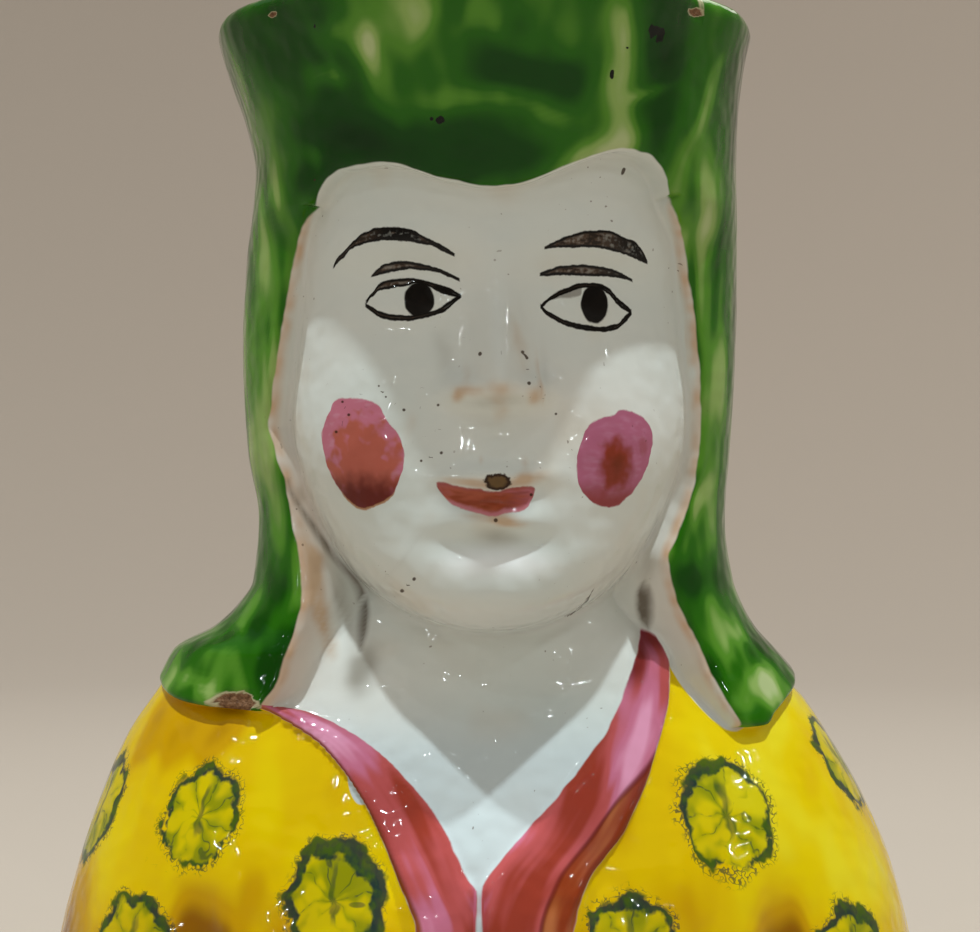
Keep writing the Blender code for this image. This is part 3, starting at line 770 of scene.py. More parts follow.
def rosette_places(points):
    """For each point its place on the nearest rosette, as a share of its size, and the rosette's ink."""
    stamp = np.full(points.shape, NO_ROSETTE)
    nearest, second = np.full((2, *points.shape[:2]), NO_ROSETTE)
    for number, (row, col, size, ink) in enumerate(rosette_middles(points)):
        middle = points[row, col]
        over = points[row, (col + SLOPE_STEP) % points.shape[1]] - points[row, col - SLOPE_STEP]
        above = points[min(row + SLOPE_STEP, len(points) - 1), col] - points[max(row - SLOPE_STEP, 0), col]
        over = over / np.linalg.norm(over)
        above = above - over * (above @ over)
        above = above / np.linalg.norm(above)
        away = np.linalg.norm(points - middle, axis=2)
        here = away < nearest
        second = np.where(here, nearest, np.minimum(second, away))
        nearest = np.where(here, away, nearest)
        side, level = (points - middle) @ over / size, (points - middle) @ above / size / ROSETTE_TALLER
        stamp[here] = np.stack([side, level, np.full(away.shape, number + ink * INK_SHARE)], axis=2)[here]
    to_border = np.minimum(ROSETTE_REACH - nearest, (second - nearest) / 2)
    stamp[to_border < ROSETTE_BORDER, :2] *= ROSETTE_DRIVEN_OUT
    stamp[to_border < ROSETTE_BORDER / 2, :2] = NO_ROSETTE
    return stamp


def speck_places(points):
    """For each point its place on the nearest speck or bubble, as a share of its size."""
    across, down = on_sheet(points)
    place = np.full(points.shape, NO_SPECK)
    nearest = np.full(points.shape[:2], SPECK_REACH)
    marks = [(across_at, down_at, size, size) for across_at, down_at, size in SPECKS]
    for mark_across, mark_down, half_width, half_height in marks + list(HAT_SPOTS):
        side, level = across - mark_across, down - mark_down
        away = np.hypot(side, level) + (points[..., 1] > 0) * BEHIND
        here = away < nearest
        nearest = np.where(here, away, nearest)
        local = np.stack([side / half_width, level / half_height, np.zeros(away.shape)], axis=2)
        place[here] = local[here]
    return place


def ring_faces(start, count):
    """Faces between a ring of so many points that starts at a number, and the next ring."""
    low = start + np.arange(count)
    ahead = start + (np.arange(count) + 1) % count
    return np.column_stack([low, ahead, ahead + count, low + count])


# Values for points where a distance, a chip or the outside's depth means nothing
FAR_OUTSIDE, NO_CHIP, DEEP_INSIDE = -50, -5, 200


def band(low, high):
    """Triangles between a ring and one with half as many points."""
    ahead, high_ahead = np.roll(low, -1), np.roll(high, -1)
    return [
        np.column_stack([low, low + 1, high]),
        np.column_stack([low + 1, high_ahead, high]),
        np.column_stack([low + 1, ahead, high_ahead]),
    ]


def decanter_mesh():
    """The whole piece as points in metres, faces, and the values and vectors that the glaze reads."""
    places, shares = columns_round()
    outer, fields = outer_rows(places, shares)
    vectors = {"stamp": (rosette_places(outer), NO_ROSETTE), "speck": (speck_places(outer), NO_SPECK)}
    values = {
        name: (fields[..., number], FAR_OUTSIDE)
        for number, name in enumerate(("in_cover", "past_edge", "in_lapel", "in_robe", "from_fold"))
    }
    values["thin_green"] = strokes_at(outer, GREEN_STROKES), 0
    values["ochre"] = strokes_at(outer, OCHRE_STROKES), 0
    values["shade"] = strokes_at(outer, PAINTED_SHADE_STROKES), 0
    values["slit"] = in_slit(outer), 0
    outer, clay = weathered(outer)
    values["bare_clay"] = clay, NO_CHIP
    lip = lip_rings(outer[-1])
    foot = foot_rings(outer[0])
    coarse = outer[::MEASURED_STEP, ::MEASURED_STEP].reshape(-1, 3)
    hollow = cavity_rings(coarse, lip[-1][::HOLLOW_STEP])

    whole = foot + list(outer) + lip
    count, half = len(places), len(places) // HOLLOW_STEP
    start = len(whole) * count
    underside = start + len(hollow) * half
    floor = underside + 1
    faces = [ring_faces(number * count, count) for number in range(len(whole) - 1)]
    faces += [ring_faces(start + number * half, half) for number in range(len(hollow) - 1)]
    triangles = band(start - count + np.arange(0, count, HOLLOW_STEP), start + np.arange(half))
    last, first = underside - half + np.arange(half), np.arange(count)
    triangles.append(np.column_stack([last, np.roll(last, -1), np.full(half, floor)]))
    triangles.append(np.column_stack([np.roll(first, -1), first, np.full(count, underside)]))
    points = np.concatenate(whole + hollow + [[(0, 0, 0), (0, 0, FLOOR)]])

    def carried_on(rows, elsewhere):
        """What is known on the outer rows, carried on to the foot and the lip, and a value for elsewhere."""
        rows = [rows[0]] * len(foot) + list(rows) + [rows[-1]] * len(lip)
        return np.concatenate(rows + [np.full((len(points) - start, *rows[0].shape[1:]), elsewhere)])

    values = {name: carried_on(*value) for name, value in values.items()}
    vectors = {name: carried_on(*vector) for name, vector in vectors.items()}
    depth = [-np.ones(start - len(lip) * count)]
    depth += [np.full(count, float(step) / LIP_STEPS) for step in range(1, LIP_STEPS + 1)]
    depth += [1 + lip[-1][::HOLLOW_STEP, 2] - ring[:, 2] for ring in hollow]
    values["inside"] = np.concatenate(depth + [[-1, DEEP_INSIDE]])
    values["under"] = np.zeros(len(points))
    values["under"][: 2 * count] = 1
    values["under"][underside] = 1
    faces = [tuple(face) for kind in (faces, triangles) for face in np.concatenate(kind).tolist()]
    return points * (ACROSS, AHEAD, UP), faces, values, vectors


# Patches of the shader's noise are about this much of its own unit across
NOISE_LENGTH = 0.6


def join(tree, value, socket):
    """Sets a socket to a plain value or a colour, or links it to a number or another socket."""
    if isinstance(value, Number):
        value = value.socket
    if isinstance(value, bpy.types.NodeSocket):
        tree.links.new(value, socket)
    else:
        socket.default_value = even_light(*value) if socket.type == "RGBA" else value


def even_light(*colour):
    """A colour in shares of light, from the usual 0 to 255 values of a display."""
    parts = [part / 255 for part in colour]
    return [part / 12.92 if part <= 0.04045 else ((part + 0.055) / 1.055) ** 2.4 for part in parts] + [1]


def new_node(tree, kind, inputs, **settings):
    """A new node with what goes into its inputs, by name or number, and its settings."""
    node = tree.nodes.new("ShaderNode" + kind)
    for name, value in settings.items():
        setattr(node, name, value)
    for place, value in inputs.items():
        join(tree, value, node.inputs[place])
    return node


class Number:
    """A number worked out in a material's nodes. Sums with it add the nodes that they need."""

    def __init__(self, tree, socket):
        self.tree, self.socket = tree, socket

    def maths(self, operation, *others, turned=False):
        """This number and others put through an operation, in turned order if asked."""
        values = (*others, self) if turned else (self, *others)
        node = new_node(self.tree, "Math", dict(enumerate(values)), operation=operation)
        return Number(self.tree, node.outputs[0])

    __add__ = __radd__ = partialmethod(maths, "ADD")
    __mul__ = __rmul__ = partialmethod(maths, "MULTIPLY")
    __sub__ = partialmethod(maths, "SUBTRACT")
    __rsub__ = partialmethod(maths, "SUBTRACT", turned=True)
    __truediv__ = partialmethod(maths, "DIVIDE")
    __rtruediv__ = partialmethod(maths, "DIVIDE", turned=True)
    size, sine = partialmethod(maths, "ABSOLUTE"), partialmethod(maths, "SINE")
    root = partialmethod(maths, "SQRT")
    least, most = partialmethod(maths, "MINIMUM"), partialmethod(maths, "MAXIMUM")

    def hypotenuse(self, other):
        return (self * self + other * other).root()

    def passage(self, start, end):
        """0 at start, 1 at end, and a soft passage between."""
        inputs = {"Value": self, "From Min": start, "From Max": end}
        node = new_node(self.tree, "MapRange", inputs, interpolation_type="SMOOTHSTEP")
        return Number(self.tree, node.outputs["Result"])

    def curve(self, stations):
        """A smooth curve through stations, read at this number."""
        places, values = zip(*stations)
        first, whole = places[0], places[-1] - places[0]
        low, high = min(values), max(values) + 1e-6
        node = new_node(self.tree, "FloatCurve", {"Value": (self - first) / whole})
        points = node.mapping.curves[0].points
        shares = [((place - first) / whole, (value - low) / (high - low)) for place, value in stations]
        for share in shares[1:-1]:
            points.new(*share)
        points[0].location, points[-1].location = shares[0], shares[-1]
        node.mapping.update()
        return Number(self.tree, node.outputs["Value"]) * (high - low) + low


def ellipse(across, down, middle, half_width, half_height):
    """1 less the distance from an ellipse's middle, as a share of its size."""
    side = (across - middle[0]) / half_width
    return 1 - side.hypotenuse((down - middle[1]) / half_height)


def brushed(across, down, stations):
    """How far inside a brush mark a place is: stations of place across with its top and bottom edge."""
    top = across.curve([(place, upper) for place, upper, lower in stations])
    bottom = across.curve([(place, lower) for place, upper, lower in stations])
    inside = (down - top).least(bottom - down)
    ends = (across - stations[0][0]).least(stations[-1][0] - across)
    return inside.least(ends)


class Glaze:
    """The painted glaze, built up colour over colour."""

    def __init__(self, name):
        self.material = bpy.data.materials.new(name)
        self.material.use_nodes = True
        self.tree = self.material.node_tree
        self.shader = self.tree.nodes["Principled BSDF"]
        place = self.tree.nodes.new("ShaderNodeTexCoord").outputs["Object"]
        self.place = self.scaled(place, (1 / ACROSS, 1 / AHEAD, 1 / UP))
        self.x, self.y, self.z = self.split(self.place)
        scale = SIGHT_DISTANCE / SHEET_STEP / (self.y + SIGHT_DISTANCE)
        self.across = self.x * scale + SHEET_MIDDLE[0]
        self.down = SHEET_MIDDLE[1] - (self.z - SIGHT_HEIGHT) * scale
        self.colour = None

    def split(self, vector):
        """The three numbers of a vector."""
        node = new_node(self.tree, "SeparateXYZ", {0: vector})
        return [Number(self.tree, output) for output in node.outputs]

    def scaled(self, vector, factors, shift=(0, 0, 0)):
        inputs = {0: vector, 1: factors, 2: shift}
        return new_node(self.tree, "VectorMath", inputs, operation="MULTIPLY_ADD").outputs[0]

    def joined(self, *numbers):
        """A vector of three numbers."""
        return new_node(self.tree, "CombineXYZ", dict(enumerate(numbers))).outputs[0]

    def known_vector(self, name):
        """A vector kept at each point of the mesh."""
        return new_node(self.tree, "Attribute", {}, attribute_name=name).outputs["Vector"]

    def known(self, name):
        """A value kept at each point of the mesh."""
        return Number(self.tree, new_node(self.tree, "Attribute", {}, attribute_name=name).outputs["Fac"])

    def cloud(self, size, detail=2, stretch=(1, 1, 1), shift=(0, 0, 0), place=None):
        """Soft noise about 0, its patches about so many millimetres across."""
        factors = tuple(NOISE_LENGTH / size / part for part in stretch)
        vector = self.scaled(place or self.place, factors, shift)
        node = new_node(self.tree, "TexNoise", {"Scale": 1, "Detail": detail, "Vector": vector})
        return Number(self.tree, node.outputs[0]) - 0.5

    def mixed(self, mask, below, above):
        """One colour over another by a mask."""
        node = new_node(self.tree, "Mix", {"Factor": mask}, data_type="RGBA", clamp_factor=True)
        sockets = [socket for socket in node.inputs if socket.type == "RGBA"]
        for colour, socket in zip((below, above), sockets):
            join(self.tree, colour, socket)
        return [socket for socket in node.outputs if socket.type == "RGBA"][0]

    def ramp(self, value, stops):
        """Colours along a value, from stops of value and colour."""
        low, high = stops[0][0], stops[-1][0]
        node = new_node(self.tree, "ValToRGB", {0: (value - low) / (high - low)})
        node.color_ramp.interpolation = "EASE"
        marks = node.color_ramp.elements
        while len(marks) < len(stops):
            marks.new(0.5)
        for mark, (at, colour) in zip(marks, stops):
            mark.position = (at - low) / (high - low)
            mark.color = even_light(*colour)
        return node.outputs[0]

    def paint(self, mask, colour):
        """Lays a colour over what is there."""
        self.colour = self.mixed(mask, self.colour, colour)


# Colours by the usual 0 to 255 values
WHITE = (224, 226, 220)
COOL_WHITE = (208, 218, 214)
CREAM = (206, 188, 160)
TAN = (204, 172, 142)
BRUSH_BLACK = (5, 3, 2)
BRUSH_GREY = (84, 68, 56)
STAMP_DARK = (8, 44, 54)
STAMP_OLIVE = (118, 134, 12)
CLAY, DARK_CLAY = (150, 112, 80), (92, 62, 40)
BROKEN_GLAZE = (196, 184, 150)
# Painted shade that tones the bib bluer and darker
BIB_PAINTED_SHADE = (186, 202, 208)
# The ochre is a wash of colour; the grey-brown is painted shade
OCHRE_WASH, PAINTED_SHADE_COLOUR = (192, 154, 112), (138, 133, 120)
# Colour of the veil's inside, and the painted shade of the slits
VEIL_INSIDE, SLIT_SHADE = (206, 184, 166), (98, 86, 72)
PINHOLE_BROWN, SPECK_BROWN, BUBBLE_BLACK = (84, 58, 36), (58, 36, 20), (8, 14, 6)
INSIDE_LIGHT, INSIDE_DARK, THIN_LIP = (196, 192, 172), (178, 184, 166), (150, 168, 120)
BISCUIT_DARK, BISCUIT_LIGHT = (176, 128, 92), (196, 150, 112)

# Colours along a depth of glaze or a streak, from thick or dark to thin or pale
YELLOW_BY_DEPTH = (
    (-0.5, (150, 98, 0)), (-0.24, (206, 158, 0)), (-0.05, (228, 192, 0)), (0.12, (234, 206, 0)),
    (0.3, (236, 218, 34)),
)
GREEN_BY_DEPTH = (
    (-0.34, (0, 42, 0)), (-0.12, (8, 66, 0)), (0.03, (36, 100, 6)), (0.14, (82, 138, 38)),
    (0.26, (140, 172, 92)), (0.4, (176, 192, 136)),
)
PINK_BY_DEPTH = (
    (-0.42, (150, 56, 40)), (-0.14, (180, 82, 82)), (0.06, (196, 112, 140)), (0.3, (222, 152, 182)),
)
BROWN_BY_STREAK = ((-0.25, (92, 28, 2)), (0.05, (134, 52, 10)), (0.28, (184, 112, 52)))
# Reds of the mouth by place across on the sheet
MOUTH_REDS = ((430, (168, 88, 80)), (462, (172, 88, 64)), (500, (166, 80, 52)), (540, (182, 104, 118)))

# Brush marks on the face: place across, top edge and bottom edge, in units of the sheet
LEFT_BROW = (
    (334, 266, 268), (340, 256, 261), (346, 250, 255), (354, 242, 248), (366, 232.5, 243),
    (381, 228, 240.6), (396, 227.9, 240.6), (412, 230.4, 242), (422, 236, 243.7), (432, 240.6, 245.7),
    (442, 245.7, 250.8), (454, 253.5, 256),
)
LEFT_CREASE = (
    (372, 275, 277), (377, 270, 275.5), (386, 264.6, 273), (396.5, 262, 271), (407, 262, 269),
    (420, 264, 270), (432, 267, 271), (448, 273, 276.5), (460, 279.5, 281.5),
)
LEFT_UPPER_LID = (
    (366.5, 300, 303), (373, 291.6, 296), (383, 282, 289), (393.5, 279.4, 287.4), (407, 278.6, 285.5),
    (417, 279.4, 283), (427, 281.5, 285.5), (437, 284.5, 291), (447.6, 288, 295), (457, 292.7, 297),
    (460.5, 295, 297),
)
LEFT_LOWER_LID = (
    (366, 304, 307), (373, 308, 312.5), (381, 312.5, 317.5), (396.5, 315.5, 320.5), (412, 315.3, 320),
    (427, 312.8, 317.3), (437, 309.7, 314.5), (447.6, 303, 309), (457, 297, 300.5), (460.5, 295, 297.5),
)
RIGHT_BROW = (
    (545, 247, 249), (556, 241.6, 247.5), (569, 236, 247.3), (583, 232.4, 247), (597, 231, 247.5),
    (608, 231, 249.5), (616, 234, 251.8), (624, 238.2, 254), (633, 241.3, 257.6), (640, 248, 261),
    (646.5, 260, 263.5),
)
RIGHT_CREASE = (
    (540, 273, 275.5), (551, 269.5, 275.5), (566, 266, 275), (581, 265, 275.5), (596.5, 266.6, 276),
    (609, 269, 276.3), (622, 274, 278.5), (632, 280, 281.5),
)
RIGHT_UPPER_LID = (
    (540.5, 305, 308), (545, 301, 304.5), (551, 295.5, 299.5), (561, 290.6, 295), (569, 287.6, 291.5),
    (579, 284, 288.5), (597, 284, 288.5), (607, 287.6, 293), (616, 297, 303), (623, 303, 309),
    (631, 310, 313.5),
)
RIGHT_LOWER_LID = (
    (540.5, 305, 308), (547, 311, 315), (556, 316, 320.5), (566, 321, 325.5), (581, 325, 329.5),
    (596.5, 327, 331.5), (610, 326, 331), (622, 319.5, 324.5), (631, 311, 315),
)
RIGHT_EYE_WASH = ((548, 298, 300), (556, 292, 299), (566, 289, 298), (576, 286, 297), (582, 287, 292))
LEFT_PUPIL = ((419, 299.8), 15.1, 17.3)
RIGHT_PUPIL = ((594.5, 304.5), 13.3, 19)
MOUTH = (
    (437, 483, 487), (441, 482.5, 493), (453, 485, 504.5), (464, 487.5, 509), (478, 489, 513),
    (494, 492, 516), (507, 488.6, 513), (520, 487, 511.5), (530, 486.5, 503), (534.5, 489, 493),
)
LIP_PIT = ((497.6, 481.6), 12.5, 8.5)
LEFT_CHEEK = (
    (321.6, 432, 438), (326, 421, 461), (330, 412, 472), (334, 401.5, 480), (341, 398.6, 491),
    (350, 398.4, 502), (362, 399.4, 508.8), (377, 404.6, 505.4), (384, 415, 502), (390, 424.5, 497.5),
    (397, 432.5, 487), (401.5, 441.5, 473), (404.5, 453, 459),
)
RIGHT_CHEEK = (
    (577, 466, 474), (580.5, 443, 488), (587, 428.4, 497), (595.7, 421, 504), (604.6, 417.2, 506.6),
    (613.6, 415, 507), (622, 410.3, 501.5), (627, 410.6, 497.5), (636, 413.6, 486.4), (643, 417.7, 476),
    (649.3, 425.7, 459), (652.8, 438, 444),
)
# Soft ovals: middle, half-width and half-height on the sheet
LEFT_CHEEK_CORE, RIGHT_CHEEK_CORE = ((365, 466), 42, 52), ((616, 464), 19, 30)
RIGHT_CHEEK_SPOT = ((643, 447), 6, 12)
# A painted highlight on the chin: its oval, the heights where it fades out below, and its colour
CHIN = ((498, 572), 84, 36)
CHIN_HIGHLIGHT_FADES, CHIN_HIGHLIGHT = (88.6, 93.5), (240, 244, 243)
# How a cheek's edge passes from outside to inside
CHEEK_EDGE = (-1.2, 1.2)
# Brush marks in black: stations, and where they turn from grey to black
BLACK_MARKS = (
    (LEFT_BROW, 366), (LEFT_CREASE, 422), (LEFT_UPPER_LID, 418), (LEFT_LOWER_LID, 418),
    (RIGHT_BROW, 612), (RIGHT_CREASE, 600), (RIGHT_UPPER_LID, 580), (RIGHT_LOWER_LID, 555),
)

# Gloss of the glaze, the ripples' height in metres, and how much rougher bare clay is
GLAZE_ROUGHNESS, RIPPLE_ROUGHNESS, CLAY_ROUGHNESS = 0.045, 0.07, 0.6
GLAZE_IOR, GLAZE_SHINE, RIPPLE_HEIGHT = 1.5, 0.22, 0.00026
BISCUIT_ROUGHNESS = 0.8

# The middle of the right lapel's slanting top, across and up
LAPEL_TOP = (28.5, 79.8)
# Where white shows between the left lapel and the yellow: middle, half-width and half-height on the sheet
BARE_BESIDE_LAPEL = ((357, 788), 12, 26)

# Where one glaze's nodes give way to the next, in places where both show the same
FACE_GLAZES_FROM = 88.0
COVER_GLAZE_FROM = 2.0
HOLLOW_GLAZE_FROM = 9.0
# How clear of the others a glaze with fewer nodes has to be, in millimetres or shares of a mark
CLEAR_OF_COVER, CLEAR_OF_ROBE, DEEP_IN_ROBE, CLEAR_OF_LAPEL = -1.5, -1.2, 1.5, -1
CLEAR_OF_MOUTH, CLEAR_OF_CHIPS, CLEAR_OF_SPECKS, CLEAR_OF_ROSETTES = -0.5, -0.7, 1.8, 1.5
# Boxes round the painted parts of the face: left, right, top and bottom on the sheet
EYES_BOX, LOWER_FACE_BOX = (325, 656, 220, 338), (312, 662, 338, 620)


def white_glaze(glaze):
    """Tin white, cooler and warmer in soft clouds, and bluer and darker on the bib as painted shade."""
    soft = glaze.cloud(22, detail=1)
    glaze.colour = glaze.mixed((soft * 2.2 + 0.5), COOL_WHITE, WHITE)
    blush = glaze.cloud(9, detail=1, shift=(5, 0, 0))
    glaze.paint(blush.passage(0.08, 0.3) * 0.25, CREAM)
    # Painted shade over the bib, which the high lamps light strongly
    glaze.paint(glaze.z.passage(70, 56) * glaze.y.passage(0, -10) * 0.6, BIB_PAINTED_SHADE)


def yellow_robe(glaze, mask):
    """The yellow robe: lemon where the glaze is thin, darker amber as painted shade along the arms' creases,
    and darker towards the bottom in front.
    """
    soft = glaze.cloud(13, detail=1, stretch=(1, 1, 1.8), shift=(0, 9, 3))
    runs = glaze.cloud(5, detail=1, stretch=(1, 1, 3.5), shift=(2, 2, 2))
    # Painted shade along the creases beside the arms, low on the front
    from_crease = (glaze.x.size() - CREASE_AT + 1) / 7
    crease_shade = (from_crease * from_crease).passage(1, 0) * glaze.z.passage(42, 22) * glaze.y.passage(10, -5)
    low = glaze.z.passage(42, 10) * glaze.y.passage(0, -20)
    depth = soft + runs * 0.5 - crease_shade * 0.5 - low * 0.3 + glaze.x.passage(26, 56) * 0.12 - 0.04
    glaze.paint(mask, glaze.ramp(depth, YELLOW_BY_DEPTH))


def green_glaze(glaze, mask):
    """Copper green that has run down: dark pools, clear green and pale patches, in streaks on the veil."""
    flow = glaze.cloud(15, detail=2, stretch=(1, 1, 1.25), shift=(3, 1, 7))
    runs = glaze.cloud(3.6, detail=1, stretch=(1, 1, 6), shift=(11, 4, 2))
    on_veil = glaze.z.passage(172, 140)
    low = glaze.z.passage(104, 76)
    in_front = glaze.y.passage(4, -16)
    depth = flow * (1.1 - in_front * 0.4) + runs * (0.12 + on_veil * 0.5) + low * 0.02 + on_veil * 0.1
    depth = depth + glaze.known("thin_green") * (runs * 1.6 + 1) - in_front * 0.04
    glaze.paint(mask, glaze.ramp(depth, GREEN_BY_DEPTH))


def lapel_glaze(glaze, mask):
    """Manganese pink with rust streaks that run along the lapels, a brown fold on the right one, and painted
    shade in dark maroon at the right one's top, where it runs in under the veil.
    """
    from_fold, in_lapel = glaze.known("from_fold"), glaze.known("in_lapel")
    along = glaze.joined(from_fold, glaze.x.passage(-3, -1) * 40, glaze.z)
    streaks = glaze.cloud(3.2, detail=2, stretch=(1, 1, 5), place=along, shift=(1, 8, 5))
    thick = glaze.cloud(13, detail=1, shift=(7, 2, 2))
    low = glaze.z.passage(62, 36)
    right = glaze.x.passage(-2, 0)
    depth = streaks * 1.3 + thick * 1.2 - low * 0.3 - right * 0.01 + 0.06
    glaze.paint(mask, glaze.ramp(depth, PINK_BY_DEPTH))
    edge = 0.9 - right * 1.4 + right * glaze.z.passage(63, 44) * 6 + streaks * 2.5
    fold = (edge - from_fold).passage(-0.5, 0.5)
    glaze.paint(mask * fold * 0.92, glaze.ramp(streaks, BROWN_BY_STREAK))
    line = (edge - from_fold).size().passage(0.9, 0.1) * right * glaze.z.passage(63, 56)
    glaze.paint(mask * line * 0.7, (96, 22, 10))
    # Dark maroon painted shade at the right lapel's top and down its inner edge, where it runs in under the
    # veil
    inner_edge = (from_fold - in_lapel).passage(0.2, 1.2) * (in_lapel + streaks * 3).passage(4.6, 1)
    shaded_top = glaze.z.passage(73.5, 78).most(inner_edge * glaze.z.passage(68, 73)) * right
    glaze.paint(mask * shaded_top * (streaks + 0.6).passage(0.0, 0.6) * 0.9, (104, 24, 18))
    upper = (from_fold - in_lapel).passage(0, 1) * (in_lapel + streaks * 3).passage(2.6, 0.2)
    glaze.paint(mask * upper * (1 - right) * glaze.z.passage(60, 66) * 0.7, (166, 78, 74))
    corner = (glaze.x + 38).passage(-3, -7)
    glaze.paint(mask * corner * 0.75, (150, 66, 34))


def rosettes(glaze, mask):
    """Sponged rosettes in blue-green: a scalloped ragged ring, curled hairs outside it and petals within."""
    place = glaze.known_vector("stamp")
    flat_side, flat_level, kind = glaze.split(place)
    ink = kind.maths("FRACT") / INK_SHARE
    spot = glaze.joined(flat_side, flat_level, kind * 5)
    wide = glaze.cloud(0.42, detail=1, place=spot, shift=(3, 3, 0))
    wobble = glaze.cloud(0.2, detail=1, place=spot, shift=(9, 3, 0))
    fine = glaze.cloud(0.07, detail=1, place=spot, shift=(7, 1, 0))
    side, level = flat_side + wobble * 0.22, flat_level + wide * 0.4
    away = side.hypotenuse(level)
    turn = level.maths("ARCTAN2", side)
    scallops = (turn * 3.5 + kind * 7).sine().size()
    inside = 0.8 + scallops * 0.1 + wobble * 0.16 + fine * 0.12 - away
    thick = 0.015 + ink * 0.1 + wide * 0.22 + wobble * 0.14 + level * 0.02
    gaps = (wobble * 1.8 + fine * 1.6 + ink * 0.9 + level * 0.4 + 0.35).passage(0.05, 0.5)
    outline = (inside.size() - thick).passage(0.05, -0.03) * gaps
    hairs = fine.size().passage(0.06, 0.015) * inside.passage(-0.24, -0.12) * inside.passage(0.1, -0.02)
    petals = (turn * 4 + kind * 3 + wobble * 4).sine().size()
    spokes = petals.passage(0.2, 0.04) * away.passage(0.08, 0.25) * (wide + fine * 0.8).passage(-0.12, 0.12)
    stroke = (side + wide * 0.2).size().passage(0.09, 0.02) * (flat_level - 0.12).size().passage(0.55, 0.35)
    blob = ellipse(side, level, (0.04, -0.18), 0.15, 0.17).passage(0, 0.5)
    dab = ellipse(side, level, (0.46, -0.06), 0.2, 0.07).passage(0, 0.4) * ink.passage(0.5, 0.8)
    within = (inside + fine * 0.2).passage(-0.05, 0.04)
    wash = within * (wide * 2.6 + wobble - petals * 0.45 + ink * 0.2 + 0.55).passage(0.0, 0.8)
    glaze.paint(mask * within * 0.6, (206, 196, 4))
    glaze.paint(mask * wash * 0.75, STAMP_OLIVE)
    marks = outline.most(hairs * 0.8).most(spokes * inside.passage(0, 0.1) * 0.7)
    marks = marks.most(stroke.most(blob).most(dab) * (wobble + 0.65))
    inked = glaze.mixed((wobble * 1.6 + fine + 0.35).passage(0, 0.8), STAMP_DARK, (62, 92, 24))
    glaze.paint(mask * marks.least(1) * 0.95, inked)


class Brush:
    """The ragged places and noises that brush marks on the face are laid on with."""

    def __init__(self, glaze):
        self.ragged = glaze.cloud(1.3, detail=1, shift=(4, 4, 4))
        self.fine = glaze.cloud(0.45, detail=1, shift=(1, 2, 3))
        self.streak = glaze.cloud(0.9, detail=1, stretch=(2.6, 1, 0.7), shift=(9, 2, 1))
        self.across = glaze.across + self.ragged * 3.2
        self.down = glaze.down + self.ragged * 2.4 + self.fine * 1.6

    def mark(self, stations):
        return brushed(self.across, self.down, stations)


def lower_face(glaze):
    """Cheeks, the mouth with the pit in its lip, and a painted highlight on the chin."""
    brush = Brush(glaze)
    ragged, fine, streak = brush.ragged, brush.fine, brush.streak
    # Painted highlight on the chin
    chin = ellipse(glaze.across, glaze.down, *CHIN)
    glaze.paint(chin.passage(0, 0.7) * glaze.z.passage(*CHIN_HIGHLIGHT_FADES), CHIN_HIGHLIGHT)
    mouth = brush.mark(MOUTH)
    glaze.paint(mouth.passage(-1.4, 1.4), glaze.ramp(glaze.across + streak * 60, MOUTH_REDS))
    low_edge = mouth.passage(-1.4, 1) * mouth.passage(6.5, 1.5) * glaze.down.passage(496, 504)
    glaze.paint(low_edge * 0.75, (206, 132, 146))
    top_edge = mouth.passage(-1, 1) * mouth.passage(4, 1) * glaze.down.passage(496, 490)
    glaze.paint(top_edge * 0.5, (150, 80, 84))
    glaze.paint(mouth.passage(3, 6.5) * (streak * 2 + 0.5).passage(0.2, 0.8) * 0.6, (128, 52, 24))
    pit = ellipse(brush.across, brush.down, *LIP_PIT) + fine * 0.45
    glaze.paint(pit.passage(-0.14, 0.06), (48, 28, 12))
    glaze.paint(pit.passage(0.16, 0.44) * 0.9, (110, 86, 50))

    left = brush.mark(LEFT_CHEEK)
    within = left.passage(*CHEEK_EDGE)
    glaze.paint(within, (190, 112, 132))
    glaze.paint(within * streak.passage(0.0, 0.3) * 0.4, (196, 144, 160))
    core = ellipse(brush.across, brush.down, *LEFT_CHEEK_CORE)
    glaze.paint(left.passage(0, 2) * (core + ragged * 1.4).passage(0, 0.4) * 0.9, (178, 92, 70))
    low = (glaze.down + ragged * 18 - (glaze.across - 362).size() * 0.25).passage(462, 492)
    glaze.paint(within * low * 0.94, (92, 22, 12))
    glaze.paint(left.size().passage(2, 0.4) * glaze.down.passage(486, 500) * 0.8, (176, 132, 92))

    right = brush.mark(RIGHT_CHEEK)
    within = right.passage(*CHEEK_EDGE)
    glaze.paint(within, (176, 100, 128))
    glaze.paint(right.passage(3, 9) * streak.passage(-0.1, 0.3) * 0.45, (190, 132, 158))
    glaze.paint(within * (glaze.down + ragged * 10).passage(478, 502) * 0.85, (140, 56, 46))
    core = ellipse(brush.across, brush.down, *RIGHT_CHEEK_CORE) + ragged * 0.8
    glaze.paint(core.passage(-0.1, 0.5) * 0.95, (138, 52, 26))
    glaze.paint(core.passage(0.4, 0.9) * 0.7, (112, 44, 10))
    faint = ellipse(brush.across, brush.down, *RIGHT_CHEEK_SPOT) + ragged * 0.6
    glaze.paint(faint.passage(0, 0.6) * 0.4, (150, 66, 60))


